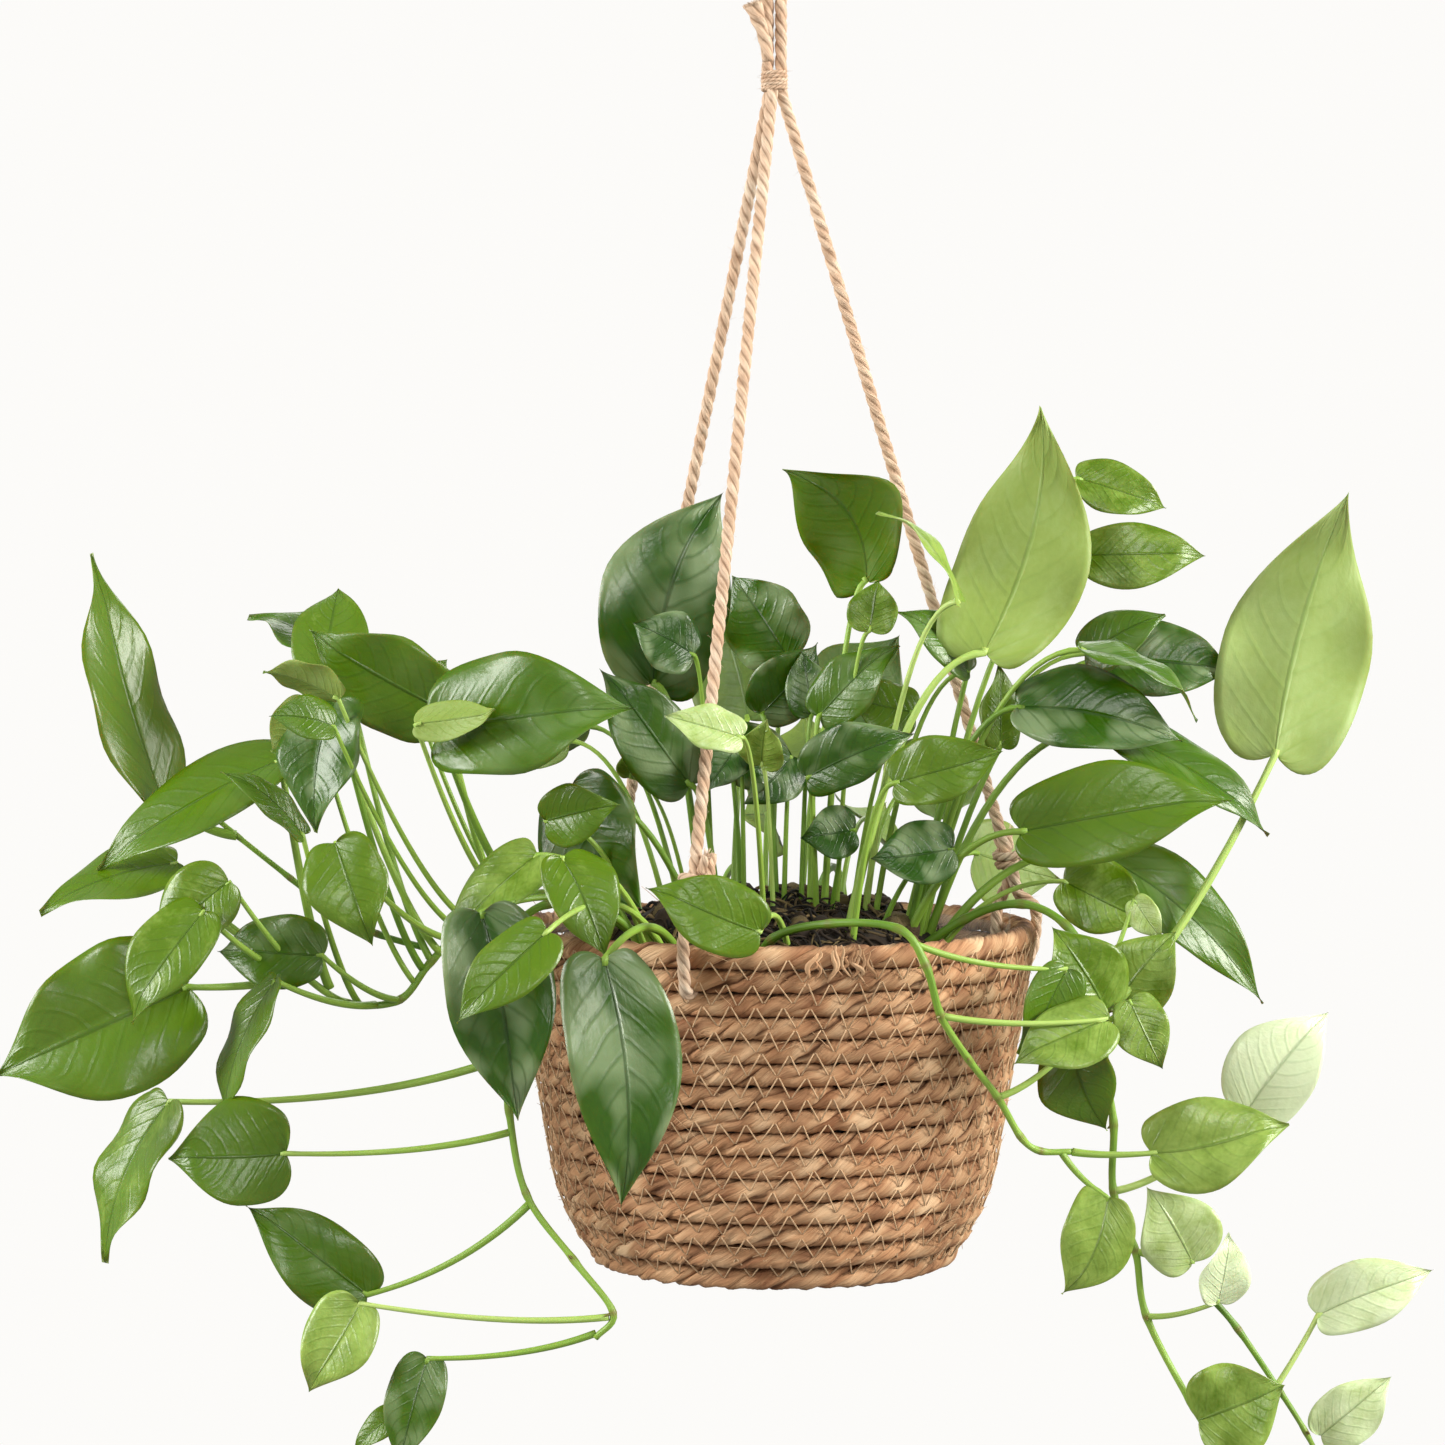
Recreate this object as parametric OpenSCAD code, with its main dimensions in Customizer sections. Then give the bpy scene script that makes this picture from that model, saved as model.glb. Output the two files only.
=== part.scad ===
// Hanging planter: a coiled straw basket on three jute ropes, holding a potted trailing pothos.
// Origin: inside top of the hanging loop, where it rests on a hook wire that runs along Y.
// +Z up, +X to the viewer's right, -Y towards the viewer.  All sizes in millimetres.

/* [Hanging ropes] */
// Diameter of the twisted jute rope
rope_d = 6; // [5:0.5:7]
// Height of the tied neck below the hook seat
neck_drop = 80; // [72:1:95]
// Height of the neck above the rim of the basket
rope_rise = 395; // [380:5:420]
// Radius of the rope's centre line where it goes round the hook wire
bight_r = 9; // [8:0.5:12]
// Compass angle of the front rope, measured from +X
front_rope_angle = -109; // [-115:1:-100]

/* [Basket] */
// Outside diameter at the rim
rim_d = 250; // [240:1:260]
// Thickness of the straw cord that is coiled and sewn
straw_d = 11; // [10:0.5:12]
// Spacing of the coiled rows
row_pitch = 10.7; // [10:0.1:11]
// Number of rows in the wall
wall_rows = 15; // [14:1:16]
// How much the wall closes in for each millimetre down
wall_taper = 0.17; // [0.1:0.01:0.2]
// Thickness of the plastic liner
liner_t = 0.6; // [0.4:0.1:1]

/* [Grow pot] */
// Outside diameter of the pot under its rim
pot_d = 182; // [170:1:186]
// Diameter of the pot's foot
pot_foot_d = 138; // [120:1:140]
// Height of the grow pot
pot_h = 135; // [120:1:138]
// Wall thickness of the grow pot
pot_wall = 1.6; // [1.2:0.1:2]

/* [Plant] */
// Thickness of a leaf
leaf_t = 1.2; // [1:0.1:1.5]
// Radius of a main stem
vine_r = 2.2; // [1.8:0.1:2.6]
// Radius of a leaf stalk
stalk_r = 1.2; // [1:0.1:1.5]

/* [Hidden] */
$fn = 64;

rope_r = rope_d / 2;
rim_r = rim_d / 2;
straw_r = straw_d / 2;
rim_z = -neck_drop - rope_rise;
rope_angles = [front_rope_angle, front_rope_angle + 120, front_rope_angle + 240];
rope_names = ["front_left", "right", "back_left"];
binding_r = 6.5;
binding_h = 11;
neck_top = -neck_drop + binding_h / 2;
turn_count = 5;
gap = 0.3;

// Row k of the wall, counted from 0 at the rim: height and centre-line radius.
bottom_bend_from = 110;
bottom_bend_in = 14;
function row_z(k) = -straw_r - k * row_pitch;
function bend(depth) = bottom_bend_in * pow(max(0, depth - bottom_bend_from) / 50, 2.2);
function outer_r(z) = rim_r + wall_taper * z - bend(-z);
function row_r(k) = outer_r(row_z(k)) - straw_r;
base_z = row_z(wall_rows - 1);
base_rings = floor(row_r(wall_rows - 1) / row_pitch) - 1;

// The rope holes lie between the second and the third row.
hole_z = row_z(1.5);
hole_r = rope_r + 0.8;

// The grow pot stands on the liner.
pot_z = base_z + straw_r + liner_t + 2 * gap;
pot_top = pot_z + pot_h;
soil_z = pot_top - 8;
function pot_radius(z) = pot_foot_d / 2 + (pot_d - pot_foot_d) / 2 * (z - pot_z) / pot_h;

// Main stems, as points above or below the rim's centre.  They leave the soil, cross the
// rim with room to spare and hang clear of the wall.
vine_left = [[-45, -15, -24], [-78, -20, 4], [-108, -25, 15], [-136, -28, 8], [-160, -30, -16],
    [-175, -32, -34], [-199, -35, -35], [-219, -38, -22], [-245, -42, -4], [-274, -45, 20]];
vine_left_upper = [[-165, -24, -10], [-186, -22, -4], [-207, -20, 6], [-227, -19, 22], [-252, -19, 42],
    [-278, -19, 64]];
vine_lower_left = [[-40, -35, -24], [-76, -52, 6], [-104, -66, 14], [-122, -74, -2], [-126, -75, -38],
    [-122, -72, -80], [-114, -76, -118], [-92, -84, -147], [-74, -90, -170], [-82, -88, -182]];
vine_front = [[-12, -62, -24], [-2, -88, 0], [24, -108, 9], [54, -122, 8], [66, -124, -8], [73, -120, -31],
    [86, -108, -52], [100, -95, -71], [111, -88, -90], [120, -84, -97], [135, -80, -98]];
vine_right = [[48, -28, -24], [88, -36, 4], [114, -44, 12], [134, -52, 3], [147, -60, -18],
    [151, -66, -36], [151, -68, -62], [155, -68, -87], [155, -68, -118], [165, -70, -145],
    [170, -72, -175], [190, -76, -214], [203, -78, -235], [212, -78, -252]];
vine_right_small = [[201, -70, -168], [212, -72, -181], [231, -74, -209], [243, -74, -228],
    [252, -74, -246]];
vine_back = [[10, 50, -24], [22, 88, 4], [30, 116, 16], [36, 138, 6], [40, 144, -30], [34, 142, -66],
    [40, 138, -100], [30, 132, -134]];
vine_back_left = [[-20, 45, -24], [-16, 84, 6], [-18, 118, 16], [-24, 142, 4], [-32, 146, -34],
    [-44, 142, -72], [-40, 138, -104]];

// Leaves: [where the stalk starts, leaf base, leaf tip, width, roll about the midrib, tone].
// Roll 0 turns the upper side to -Y; tone 0 is the darkest green and 1 the palest.
leaves_upper_left = [
    [[-252, -19, 42], [-286, -22, 57], [-318, -8, 175], 50, 57, 0.50],
    [[-207, -36, -28], [-228, -50, 79], [-314, -52, 30], 44, 50, 0.42],
    [[-245, -42, -4], [-277, -46, 31], [-338, -60, 10], 44, 58, 0.55],
    [[-193, -35, -36], [-216, -70, 46], [-252, -74, 76], 18, 52, 0.40],
    [[-156, -30, -12], [-208, -52, 118], [-205, -6, 158], 36, 5, 0.50],
    [[-160, -30, -16], [-200, -22, 119], [-246, -12, 146], 40, 66, 0.35],
    [[-142, -28, 2], [-198, -86, 109], [-231, -92, 122], 26, 130, 0.50],
    [[-146, -29, -2], [-199, -98, 97], [-227, -106, 102], 22, 30, 0.40],
    [[-168, -31, -26], [-214, -50, 104], [-233, -52, 84], 24, 150, 0.40],
    [[-164, -30, -20], [-201, -68, 107], [-209, -82, 48], 42, 28, 0.20],
    [[-150, -29, -6], [-199, -92, 44], [-182, -104, -1], 38, 0, 0.48],
    [[-128, -27, 12], [-152, -52, 102], [-214, -60, 138], 46, -12, 0.40],
    [[-126, -27, 12], [-162, -100, 98], [-124, -116, 104], 20, 150, 0.50],
    [[-124, -26, 13], [-167, -36, 107], [-152, -30, 125], 18, 20, 0.50],
    [[-118, -26, 14], [-152, -86, 94], [-66, -112, 107], 58, -20, 0.35]];
leaves_lower_left = [
    [[-219, -38, -22], [-269, -68, -24], [-357, -74, -64], 71, 15, 0.45],
    [[-219, -38, -22], [-260, -84, 12], [-293, -96, -36], 36, 20, 0.50],
    [[-199, -35, -35], [-249, -76, 25], [-280, -74, -6], 36, 20, 0.55],
    [[-175, -32, -34], [-208, -63, -10], [-259, -46, -9], 35, 15, 0.25],
    [[-186, -34, -36], [-228, -78, -20], [-252, -80, -86], 34, 60, 0.50],
    [[-121, -72, -90], [-222, -92, -97], [-275, -96, -98], 50, 10, 0.40],
    [[-124, -72, -56], [-281, -44, -80], [-311, -46, -155], 46, 52, 0.55],
    [[-112, -76, -122], [-188, -62, -167], [-243, -62, -125], 38, 15, 0.30],
    [[-76, -90, -172], [-190, -78, -168], [-214, -82, -208], 34, 10, 0.66],
    [[-82, -87, -180], [-159, -80, -193], [-172, -84, -242], 27, 0, 0.28],
    [[-159, -80, -193], [-170, -74, -218], [-194, -74, -238], 15, 40, 0.45]];
leaves_centre_left = [
    [[-56, -56, -20], [-104, -92, 54], [-71, -104, 62], 28, 0, 0.50],
    [[-30, -20, -20], [-94, -56, 66], [-62, -72, 12], 52, 18, 0.15],
    [[-52, -58, -20], [-96, -116, 39], [-76, -132, -4], 34, -25, 0.55],
    [[-58, -54, -20], [-108, -84, 38], [-148, -92, -4], 34, 38, 0.60],
    [[-50, -45, -20], [-132, -112, 14], [-116, -122, -78], 50, -8, 0.12],
    [[-46, -50, -20], [-101, -158, 10], [-140, -170, -28], 30, 18, 0.50],
    [[-40, -55, -20], [-76, -150, -3], [-68, -162, -111], 50, -5, 0.15],
    [[8, -58, -20], [-8, -146, 9], [-57, -152, 30], 34, 12, 0.52],
    [[-32, -8, -20], [-57, 2, 112], [-24, 8, 203], 63, 8, 0.10],
    [[-28, -12, -20], [-38, -32, 127], [-66, -34, 142], 30, 20, 0.10],
    [[-2, 8, -20], [7, 34, 124], [-20, 42, 163], 42, -20, 0.16],
    [[2, -12, -20], [-6, 0, 98], [22, 4, 131], 32, 15, 0.12],
    [[-4, -40, -20], [-16, -118, 93], [-50, -122, 103], 22, 30, 0.80],
    [[0, -35, -20], [-6, -40, 76], [-4, -52, 98], 22, -15, 0.65],
    [[-24, -18, -20], [-40, -20, 66], [-80, -26, 121], 38, 15, 0.10],
    [[4, -20, -20], [8, -22, 79], [-14, -40, 58], 28, 0, 0.05],
    [[-14, -22, -20], [-16, -22, 86], [-32, -34, 63], 24, 10, 0.05],
    [[-36, 8, -20], [-68, 0, 68], [-67, -4, 82], 14, 0, 0.55],
    [[-14, 14, -20], [-24, 18, 85], [18, 12, 62], 32, 10, 0.08]];
leaves_centre_right = [
    [[22, -20, -20], [43, -22, 161], [3, -34, 212], 56, -36, 0.40],
    [[28, -18, -20], [44, -32, 138], [48, -28, 162], 24, 0, 0.60],
    [[40, -15, -20], [84, -54, 152], [49, -54, 195], 26, 78, 0.65],
    [[44, -18, -20], [90, -24, 119], [56, -30, 148], 26, 40, 0.30],
    [[16, -25, -20], [21, -20, 98], [57, -26, 132], 30, -20, 0.30],
    [[12, -18, -20], [18, -8, 98], [13, -2, 128], 22, 0, 0.12],
    [[34, -12, -20], [66, -10, 99], [34, -14, 106], 30, 30, 0.50],
    [[20, -32, -20], [15, -50, 71], [63, -58, 92], 30, -15, 0.12],
    [[34, -60, -20], [54, -76, 70], [103, -82, 85], 32, -20, 0.55],
    [[24, -28, -20], [37, -40, 46], [12, -44, 43], 26, 20, 0.08],
    [[44, -34, -20], [82, -50, 38], [44, -54, 34], 32, 25, 0.08]];
leaves_upper_right = [
    [[30, -52, -20], [97, -36, 128], [124, -22, 242], 62, 178, 0.50],
    [[66, -12, -20], [143, 0, 209], [186, 4, 196], 28, -30, 0.60],
    [[68, -12, -20], [146, -6, 173], [203, -8, 174], 32, -15, 0.55],
    [[66, -20, -20], [145, -18, 127], [182, -22, 146], 28, -30, 0.30],
    [[70, -14, -20], [157, -2, 124], [218, -2, 119], 38, -25, 0.12],
    [[60, -26, -20], [113, -42, 103], [188, -48, 88], 42, -28, 0.12],
    [[64, -22, -20], [141, -50, 130], [196, -54, 101], 30, -70, 0.30],
    [[68, -18, -20], [151, -32, 93], [232, -34, 46], 36, -55, 0.25],
    [[58, -22, -20], [105, -24, 84], [105, -20, 122], 24, 30, 0.55],
    [[151, -66, -34], [234, -22, 80], [269, -4, 201], 70, 175, 0.62],
    [[56, -34, -20], [113, -62, 47], [207, -74, 64], 47, -18, 0.42],
    [[70, -26, -20], [146, -24, 36], [228, -30, -36], 38, -30, 0.36],
    [[72, -26, -20], [134, -38, 22], [174, -42, 3], 36, -10, 0.55],
    [[149, -62, -22], [165, -56, 15], [178, -58, -3], 15, 0, 0.75],
    [[100, -95, -71], [150, -80, -33], [126, -82, 5], 38, 20, 0.60],
    [[73, -120, -31], [149, -100, -35], [106, -110, -52], 34, 30, 0.62],
    [[60, -124, 2], [131, -93, -13], [110, -95, -52], 28, -20, 0.42],
    [[151, -66, -36], [156, -58, -34], [184, -60, 1], 36, -12, 0.60],
    [[151, -68, -40], [161, -78, -29], [176, -82, -60], 26, -10, 0.62],
    [[151, -68, -62], [134, -76, -48], [150, -84, -88], 38, 20, 0.42]];
leaves_lower_right = [
    [[130, -81, -98], [151, -86, -118], [130, -88, -162], 34, 5, 0.60],
    [[135, -80, -98], [171, -84, -98], [232, -90, -82], 43, -20, 0.65],
    [[155, -68, -118], [217, -62, -82], [254, -62, -36], 42, -15, 0.95],
    [[165, -70, -145], [191, -74, -150], [170, -78, -115], 38, 0, 0.75],
    [[170, -72, -175], [201, -86, -166], [206, -92, -134], 25, 20, 0.95],
    [[203, -78, -235], [250, -64, -176], [303, -66, -155], 32, -15, 0.90],
    [[190, -76, -214], [193, -82, -221], [232, -86, -204], 44, -10, 0.60],
    [[243, -74, -228], [250, -74, -230], [282, -76, -202], 28, -15, 0.85]];
leaves_back = [
    [[12, 30, -20], [30, 62, 96], [62, 84, 132], 52, 160, 0.15],
    [[-20, 28, -20], [-12, 70, 92], [-24, 96, 138], 50, 175, 0.20],
    [[40, 20, -20], [66, 64, 58], [104, 92, 82], 48, 150, 0.20],
    [[30, 40, -20], [46, 92, 42], [58, 138, 46], 46, 150, 0.35],
    [[-4, 44, -20], [-2, 98, 44], [-14, 150, 40], 46, 185, 0.30],
    [[-40, 20, -20], [-88, 40, 90], [-120, 62, 106], 34, 205, 0.25],
    [[-46, 10, -20], [-98, 26, 84], [-134, 40, 92], 30, 200, 0.35],
    [[20, 48, -20], [20, 86, 70], [16, 118, 92], 44, 180, 0.45],
    [[60, 26, -20], [100, 82, 26], [142, 112, 10], 44, 155, 0.40],
    [[40, 144, -30], [44, 152, -38], [74, 160, -72], 42, 170, 0.45],
    [[34, 142, -66], [30, 152, -72], [2, 160, -104], 40, 185, 0.35],
    [[40, 138, -100], [46, 146, -106], [74, 152, -136], 38, 172, 0.50],
    [[-32, 146, -34], [-36, 154, -40], [-70, 160, -66], 42, 190, 0.40],
    [[-44, 142, -72], [-46, 150, -80], [-76, 156, -114], 38, 188, 0.50],
    [[30, 132, -134], [30, 132, -136], [18, 134, -172], 30, 180, 0.65],
    [[-40, 138, -104], [-40, 138, -106], [-50, 140, -144], 30, 180, 0.60]];

// ---- shared shapes ----

function unit(v) = v / norm(v);
function on_rim(angle, across, out, up) = [
    out * cos(angle) - across * sin(angle), out * sin(angle) + across * cos(angle), up];

// Round bar from a to b.
module bar(a, b, r) {
    d = b - a;
    translate(a)
        rotate([0, acos(d.z / norm(d)), atan2(d.y, d.x)])
            cylinder(r = r, h = norm(d));
}

// Round bar that follows a list of points, with a ball at each bend.
module bent_bar(points, r) {
    for (i = [0 : len(points) - 2]) bar(points[i], points[i + 1], r);
    for (i = [1 : len(points) - 2]) translate(points[i]) sphere(r = r * 1.05);
}

// Slender many-sided bar swept along a list of points; no stretch runs along ref.
bar_sides = 10;
function heading(points, i) = unit(points[min(i + 1, len(points) - 1)] - points[max(i - 1, 0)]);
function ring(p, t, r, ref) = let (u = unit(cross(t, ref)), v = cross(t, u))
    [for (k = [0 : bar_sides - 1]) p + r * (u * cos(360 * k / bar_sides) + v * sin(360 * k / bar_sides))];
module swept_bar(points, r, ref) {
    last = (len(points) - 1) * bar_sides;
    polyhedron(
        [for (i = [0 : len(points) - 1]) each ring(points[i], heading(points, i), r, ref)],
        concat(
            [[for (k = [0 : bar_sides - 1]) k]],
            [for (i = [0 : bar_sides : last - 1], k = [0 : bar_sides - 1]) let (next = (k + 1) % bar_sides)
                each [[i + k, i + bar_sides + k, i + next],
                    [i + next, i + bar_sides + k, i + bar_sides + next]]],
            [[for (k = [bar_sides - 1 : -1 : 0]) last + k]]));
}

// Heart-shaped leaf outline, from the stalk at 0 to a drawn-out tip at leaf_length.
function leaf_along(a) = (1 - cos(a)) / 2 - 0.11 * sin(a) * (1 + cos(a));
function leaf_across(a) = a <= 90 ? sin(a) : pow(sin(a), 3);
function leaf_outline(leaf_length, width) = let (half = [for (a = [8 : 16 : 168]) a]) concat(
    [for (a = half) [leaf_length * leaf_along(a), width / 2 * leaf_across(a)]],
    [[leaf_length, 0]],
    [for (i = [len(half) - 1 : -1 : 0])
        [leaf_length * leaf_along(half[i]), -width / 2 * leaf_across(half[i])]]);

module leaf(base, tip, width, roll, tone) {
    m = unit(tip - base);
    facing = unit([0, -1, 0] - m * (m * [0, -1, 0]));
    n = facing * cos(roll) + cross(m, facing) * sin(roll);
    s = cross(n, m);
    color([0.12 + 0.5 * tone, 0.36 + 0.4 * tone, 0.1 + 0.3 * tone])
        multmatrix([[m.x, s.x, n.x, base.x], [m.y, s.y, n.y, base.y], [m.z, s.z, n.z, base.z]])
            linear_extrude(height = leaf_t, center = true)
                polygon(leaf_outline(norm(tip - base), width));
}

// A stalk bends in one upright plane: from its start, over a control point, to the leaf base.
// A stalk that starts inside the basket arches over the rim; one that leaves a stem sags a little.
function arch(start, base, reach) = norm([start.x, start.y]) < 105
    ? max(start.z, base.z) + max(0, 0.35 * reach - 0.5 * max(0, base.z - start.z))
    : 0.6 * start.z + 0.4 * base.z - 0.06 * reach - 0.2 * abs(base.z - start.z);
function bow(reach, z0, z1, z2, t) = [
    2 * (1 - t) * t * 0.4 * reach + t * t * reach,
    (1 - t) * (1 - t) * z0 + 2 * (1 - t) * t * z1 + t * t * z2];
stalk_steps = 7;
function side_step(reach, z0, z1, z2, t, off) = let (
    d = unit(bow(reach, z0, z1, z2, t + 0.01) - bow(reach, z0, z1, z2, t - 0.01)))
    bow(reach, z0, z1, z2, t) + off * [-d.y, d.x];

module stalk(start, base) {
    reach = norm([base.x - start.x, base.y - start.y]);
    top = arch(start, base, reach);
    color("olivedrab")
        translate([start.x, start.y, 0])
            rotate([90, 0, atan2(base.y - start.y, base.x - start.x)])
                linear_extrude(height = 2 * stalk_r, center = true)
                    polygon(concat(
                        [for (i = [0 : stalk_steps])
                            side_step(reach, start.z, top, base.z, i / stalk_steps, stalk_r)],
                        [for (i = [stalk_steps : -1 : 0])
                            side_step(reach, start.z, top, base.z, i / stalk_steps, -stalk_r)]));
}

module leaf_set(rows) {
    translate([0, 0, rim_z])
        for (row = rows) leaf(row[1], row[2], row[3], row[4], row[5]);
}

module stalks(rows) {
    translate([0, 0, rim_z])
        for (row = rows)
            if (norm(row[1] - row[0]) > 12) stalk(row[0], row[1]);
}

module stem(points, ref = [0, 1, 0]) {
    color("yellowgreen") translate([0, 0, rim_z]) swept_bar(points, vine_r, ref);
}

// ---- hanging ropes ----

rope_colour = "tan";
bight_half_angle = 12;
loop_from_angle = 39;

function on_bight(angle) = [bight_r * sin(angle), 0, bight_r * cos(angle) - bight_r + rope_r];

// Short piece of the loop that lies on the hook wire.
module loop_bight() {
    color(rope_colour)
        translate([0, 0, rope_r - bight_r])
            rotate([90, 0, 0])
                rotate([0, 0, 90 - bight_half_angle])
                    rotate_extrude(angle = 2 * bight_half_angle)
                        translate([bight_r, 0]) circle(r = rope_r);
}

module loop_leg(side) {
    color(rope_colour)
        swept_bar(concat(
            [for (angle = [loop_from_angle, 56, 73, 90]) on_bight(side * angle)],
            [[side * 8.6, 0, -14], [side * 6.6, 0, -24], [side * 4.4, 0, -32], [side * 3.2, 0, -39],
                [side * 3.2, 0, neck_top + 1]]), rope_r, [0, 1, 0]);
}
module loop_leg_left() { loop_leg(-1); }
module loop_leg_right() { loop_leg(1); }

// Cut ends of the ropes, left standing beside the loop.
module rope_cut_tail() {
    color(rope_colour)
        swept_bar([[-2.9, -6.9, neck_top + 3], [-3.8, -6.9, neck_top + 9], [-5.8, -7.2, neck_top + 17],
            [-10.3, -7.6, neck_top + 31]], rope_r, [0, 1, 0]);
}

// Twine wound round the neck.
module neck_binding() {
    pitch = binding_h / turn_count;
    color("burlywood")
        translate([0, 0, -neck_drop - binding_h / 2])
            rotate_extrude()
                polygon(concat([[0, 0]],
                    [for (i = [0 : turn_count - 1]) each [
                        [binding_r - 0.6, pitch * i], [binding_r, pitch * (i + 0.3)],
                        [binding_r, pitch * (i + 0.7)]]],
                    [[binding_r - 0.6, binding_h], [0, binding_h]]));
}

// Line of a rope leg, as [radius, height above the rim].
leg_top = [4, rope_rise - binding_h / 2 - 1.5];
leg_foot = [118.5, 15];
function leg_radius(z) = leg_foot[0]
    + (leg_top[0] - leg_foot[0]) * (z - leg_foot[1]) / (leg_top[1] - leg_foot[1]);

module rope_leg(angle) {
    color(rope_colour)
        translate([0, 0, rim_z])
            bar(on_rim(angle, 0, leg_top[0], leg_top[1]),
                on_rim(angle, 0, leg_foot[0], leg_foot[1]), rope_r);
}
module rope_leg_front_left() { rope_leg(rope_angles[0]); }
module rope_leg_right() { rope_leg(rope_angles[1]); }
module rope_leg_back_left() { rope_leg(rope_angles[2]); }

// The rope goes down outside two rows, through the wall, up inside and back along its own leg.
return_top = 40;
module rim_loop(angle) {
    out = rim_r + rope_r + gap;
    in = rim_r - straw_d - rope_r - 2;
    color(rope_colour)
        translate([0, 0, rim_z])
            bent_bar([
                on_rim(angle, 0, 119.5, 11),
                on_rim(angle, 0, out - 1, 5),
                on_rim(angle, 0, out, -4),
                on_rim(angle, 0, out - 2, -17),
                on_rim(angle, 0, out - 6, hole_z),
                on_rim(angle, 0, in + 2, hole_z),
                on_rim(angle, 0, in, -17),
                on_rim(angle, 1, in, -3),
                on_rim(angle, 4, in + 1.5, 5),
                on_rim(angle, 7.2, leg_radius(20), 20),
                on_rim(angle, 6.8, leg_radius(return_top), return_top)], rope_r - 0.2);
}
module rim_loop_front_left() { rim_loop(rope_angles[0]); }
module rim_loop_right() { rim_loop(rope_angles[1]); }
module rim_loop_back_left() { rim_loop(rope_angles[2]); }

// Two tight turns of the returning end round its own leg, above the rim.
knot_rope_r = 2.3;
module rim_knot(angle) {
    low = on_rim(angle, 0, leg_radius(25), 25);
    along = unit(on_rim(angle, 0, leg_top[0], leg_top[1]) - low);
    color(rope_colour)
        translate([0, 0, rim_z])
            for (i = [0, 1])
                translate(low + along * 2.1 * knot_rope_r * i)
                    rotate([0, acos(along.z), atan2(along.y, along.x)])
                        rotate_extrude()
                            translate([rope_r + knot_rope_r, 0]) circle(r = knot_rope_r);
}
module rim_knot_front_left() { rim_knot(rope_angles[0]); }
module rim_knot_right() { rim_knot(rope_angles[1]); }
module rim_knot_back_left() { rim_knot(rope_angles[2]); }

// ---- basket ----

straw_colour = "burlywood";
bump_angles = [56, 22, -22, -56];
middle_row = floor(wall_rows / 2);

// Outline of rows first to last, stacked, as seen in a cut through the wall.
function wall_section(first, last) = concat(
    [for (k = [first : last]) each [for (a = bump_angles)
        [row_r(k) + straw_r * cos(a), row_z(k) + straw_r * sin(a)]]],
    [for (k = [last : -1 : first]) each [for (i = [3 : -1 : 0])
        [row_r(k) - straw_r * cos(bump_angles[i]), row_z(k) + straw_r * sin(bump_angles[i])]]]);

module rope_holes() {
    for (angle = rope_angles)
        rotate([0, 0, angle])
            translate([rim_r - 30, 0, hole_z])
                rotate([0, 90, 0]) cylinder(r = hole_r, h = 40);
}

module rim_coil() {
    color(straw_colour)
        translate([0, 0, rim_z])
            rotate_extrude() translate([row_r(0), row_z(0)]) circle(r = straw_r - 0.2);
}

module wall_coils_upper() {
    color(straw_colour)
        translate([0, 0, rim_z])
            difference() {
                rotate_extrude() polygon(wall_section(1, middle_row));
                rope_holes();
            }
}

module wall_coils_lower() {
    color(straw_colour)
        translate([0, 0, rim_z])
            rotate_extrude() polygon(wall_section(middle_row + 1, wall_rows - 1));
}

// The same cord goes on flat to the middle of the bottom.
module base_coils() {
    edge = row_r(wall_rows - 1) - row_pitch;
    rings = [for (j = [0 : base_rings]) edge - j * row_pitch];
    color(straw_colour)
        translate([0, 0, rim_z + base_z])
            rotate_extrude()
                polygon(concat(
                    [for (x = rings) each [[x + 4.6, straw_r * 0.55], [x + 2, straw_r * 0.92],
                        [x - 2, straw_r * 0.92], [x - 4.6, straw_r * 0.55]]],
                    [[0, straw_r * 0.55], [0, -straw_r * 0.55]],
                    [for (j = [len(rings) - 1 : -1 : 0]) let (x = rings[j]) each [
                        [x - 4.6, -straw_r * 0.55], [x - 2, -straw_r * 0.92],
                        [x + 2, -straw_r * 0.92], [x + 4.6, -straw_r * 0.55]]]));
}

// Sewing thread, laid in the groove between one row and the next.
module seam_thread() {
    thread = 0.8;
    color("wheat")
        translate([0, 0, rim_z])
            for (k = [1 : wall_rows - 2])
                if (abs(row_z(k + 0.5) - hole_z) > row_pitch / 2)
                    rotate_extrude()
                        translate([max(row_r(k), row_r(k + 1)) + straw_r * cos(56) + 0.1,
                            row_z(k + 0.5) - thread / 2])
                            square([thread, thread]);
}

// Clear film that keeps water off the straw, cut out where each rope comes through.
module plastic_liner() {
    floor_z = base_z + straw_r + gap;
    function film(k, t) = [row_r(k) - straw_r - 3 * gap - t, row_z(k)];
    rows = [for (k = [0 : wall_rows - 2]) k];
    foot = [film(wall_rows - 2, 0)[0] - 6, floor_z];
    color([0.9, 0.92, 0.92, 0.5])
        translate([0, 0, rim_z])
            difference() {
                rotate_extrude()
                    polygon(concat(
                        [for (k = rows) film(k, 0)], [foot, [0, floor_z], [0, floor_z + liner_t]],
                        [[foot[0] - liner_t / 2, floor_z + liner_t]],
                        [for (i = [len(rows) - 1 : -1 : 0]) film(rows[i], liner_t)]));
                for (angle = rope_angles)
                    rotate([0, 0, angle])
                        translate([rim_r - 40, -hole_r - 1, hole_z - hole_r])
                            cube([60, 2 * hole_r + 6, 60]);
            }
}

// ---- grow pot and plant ----

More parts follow.
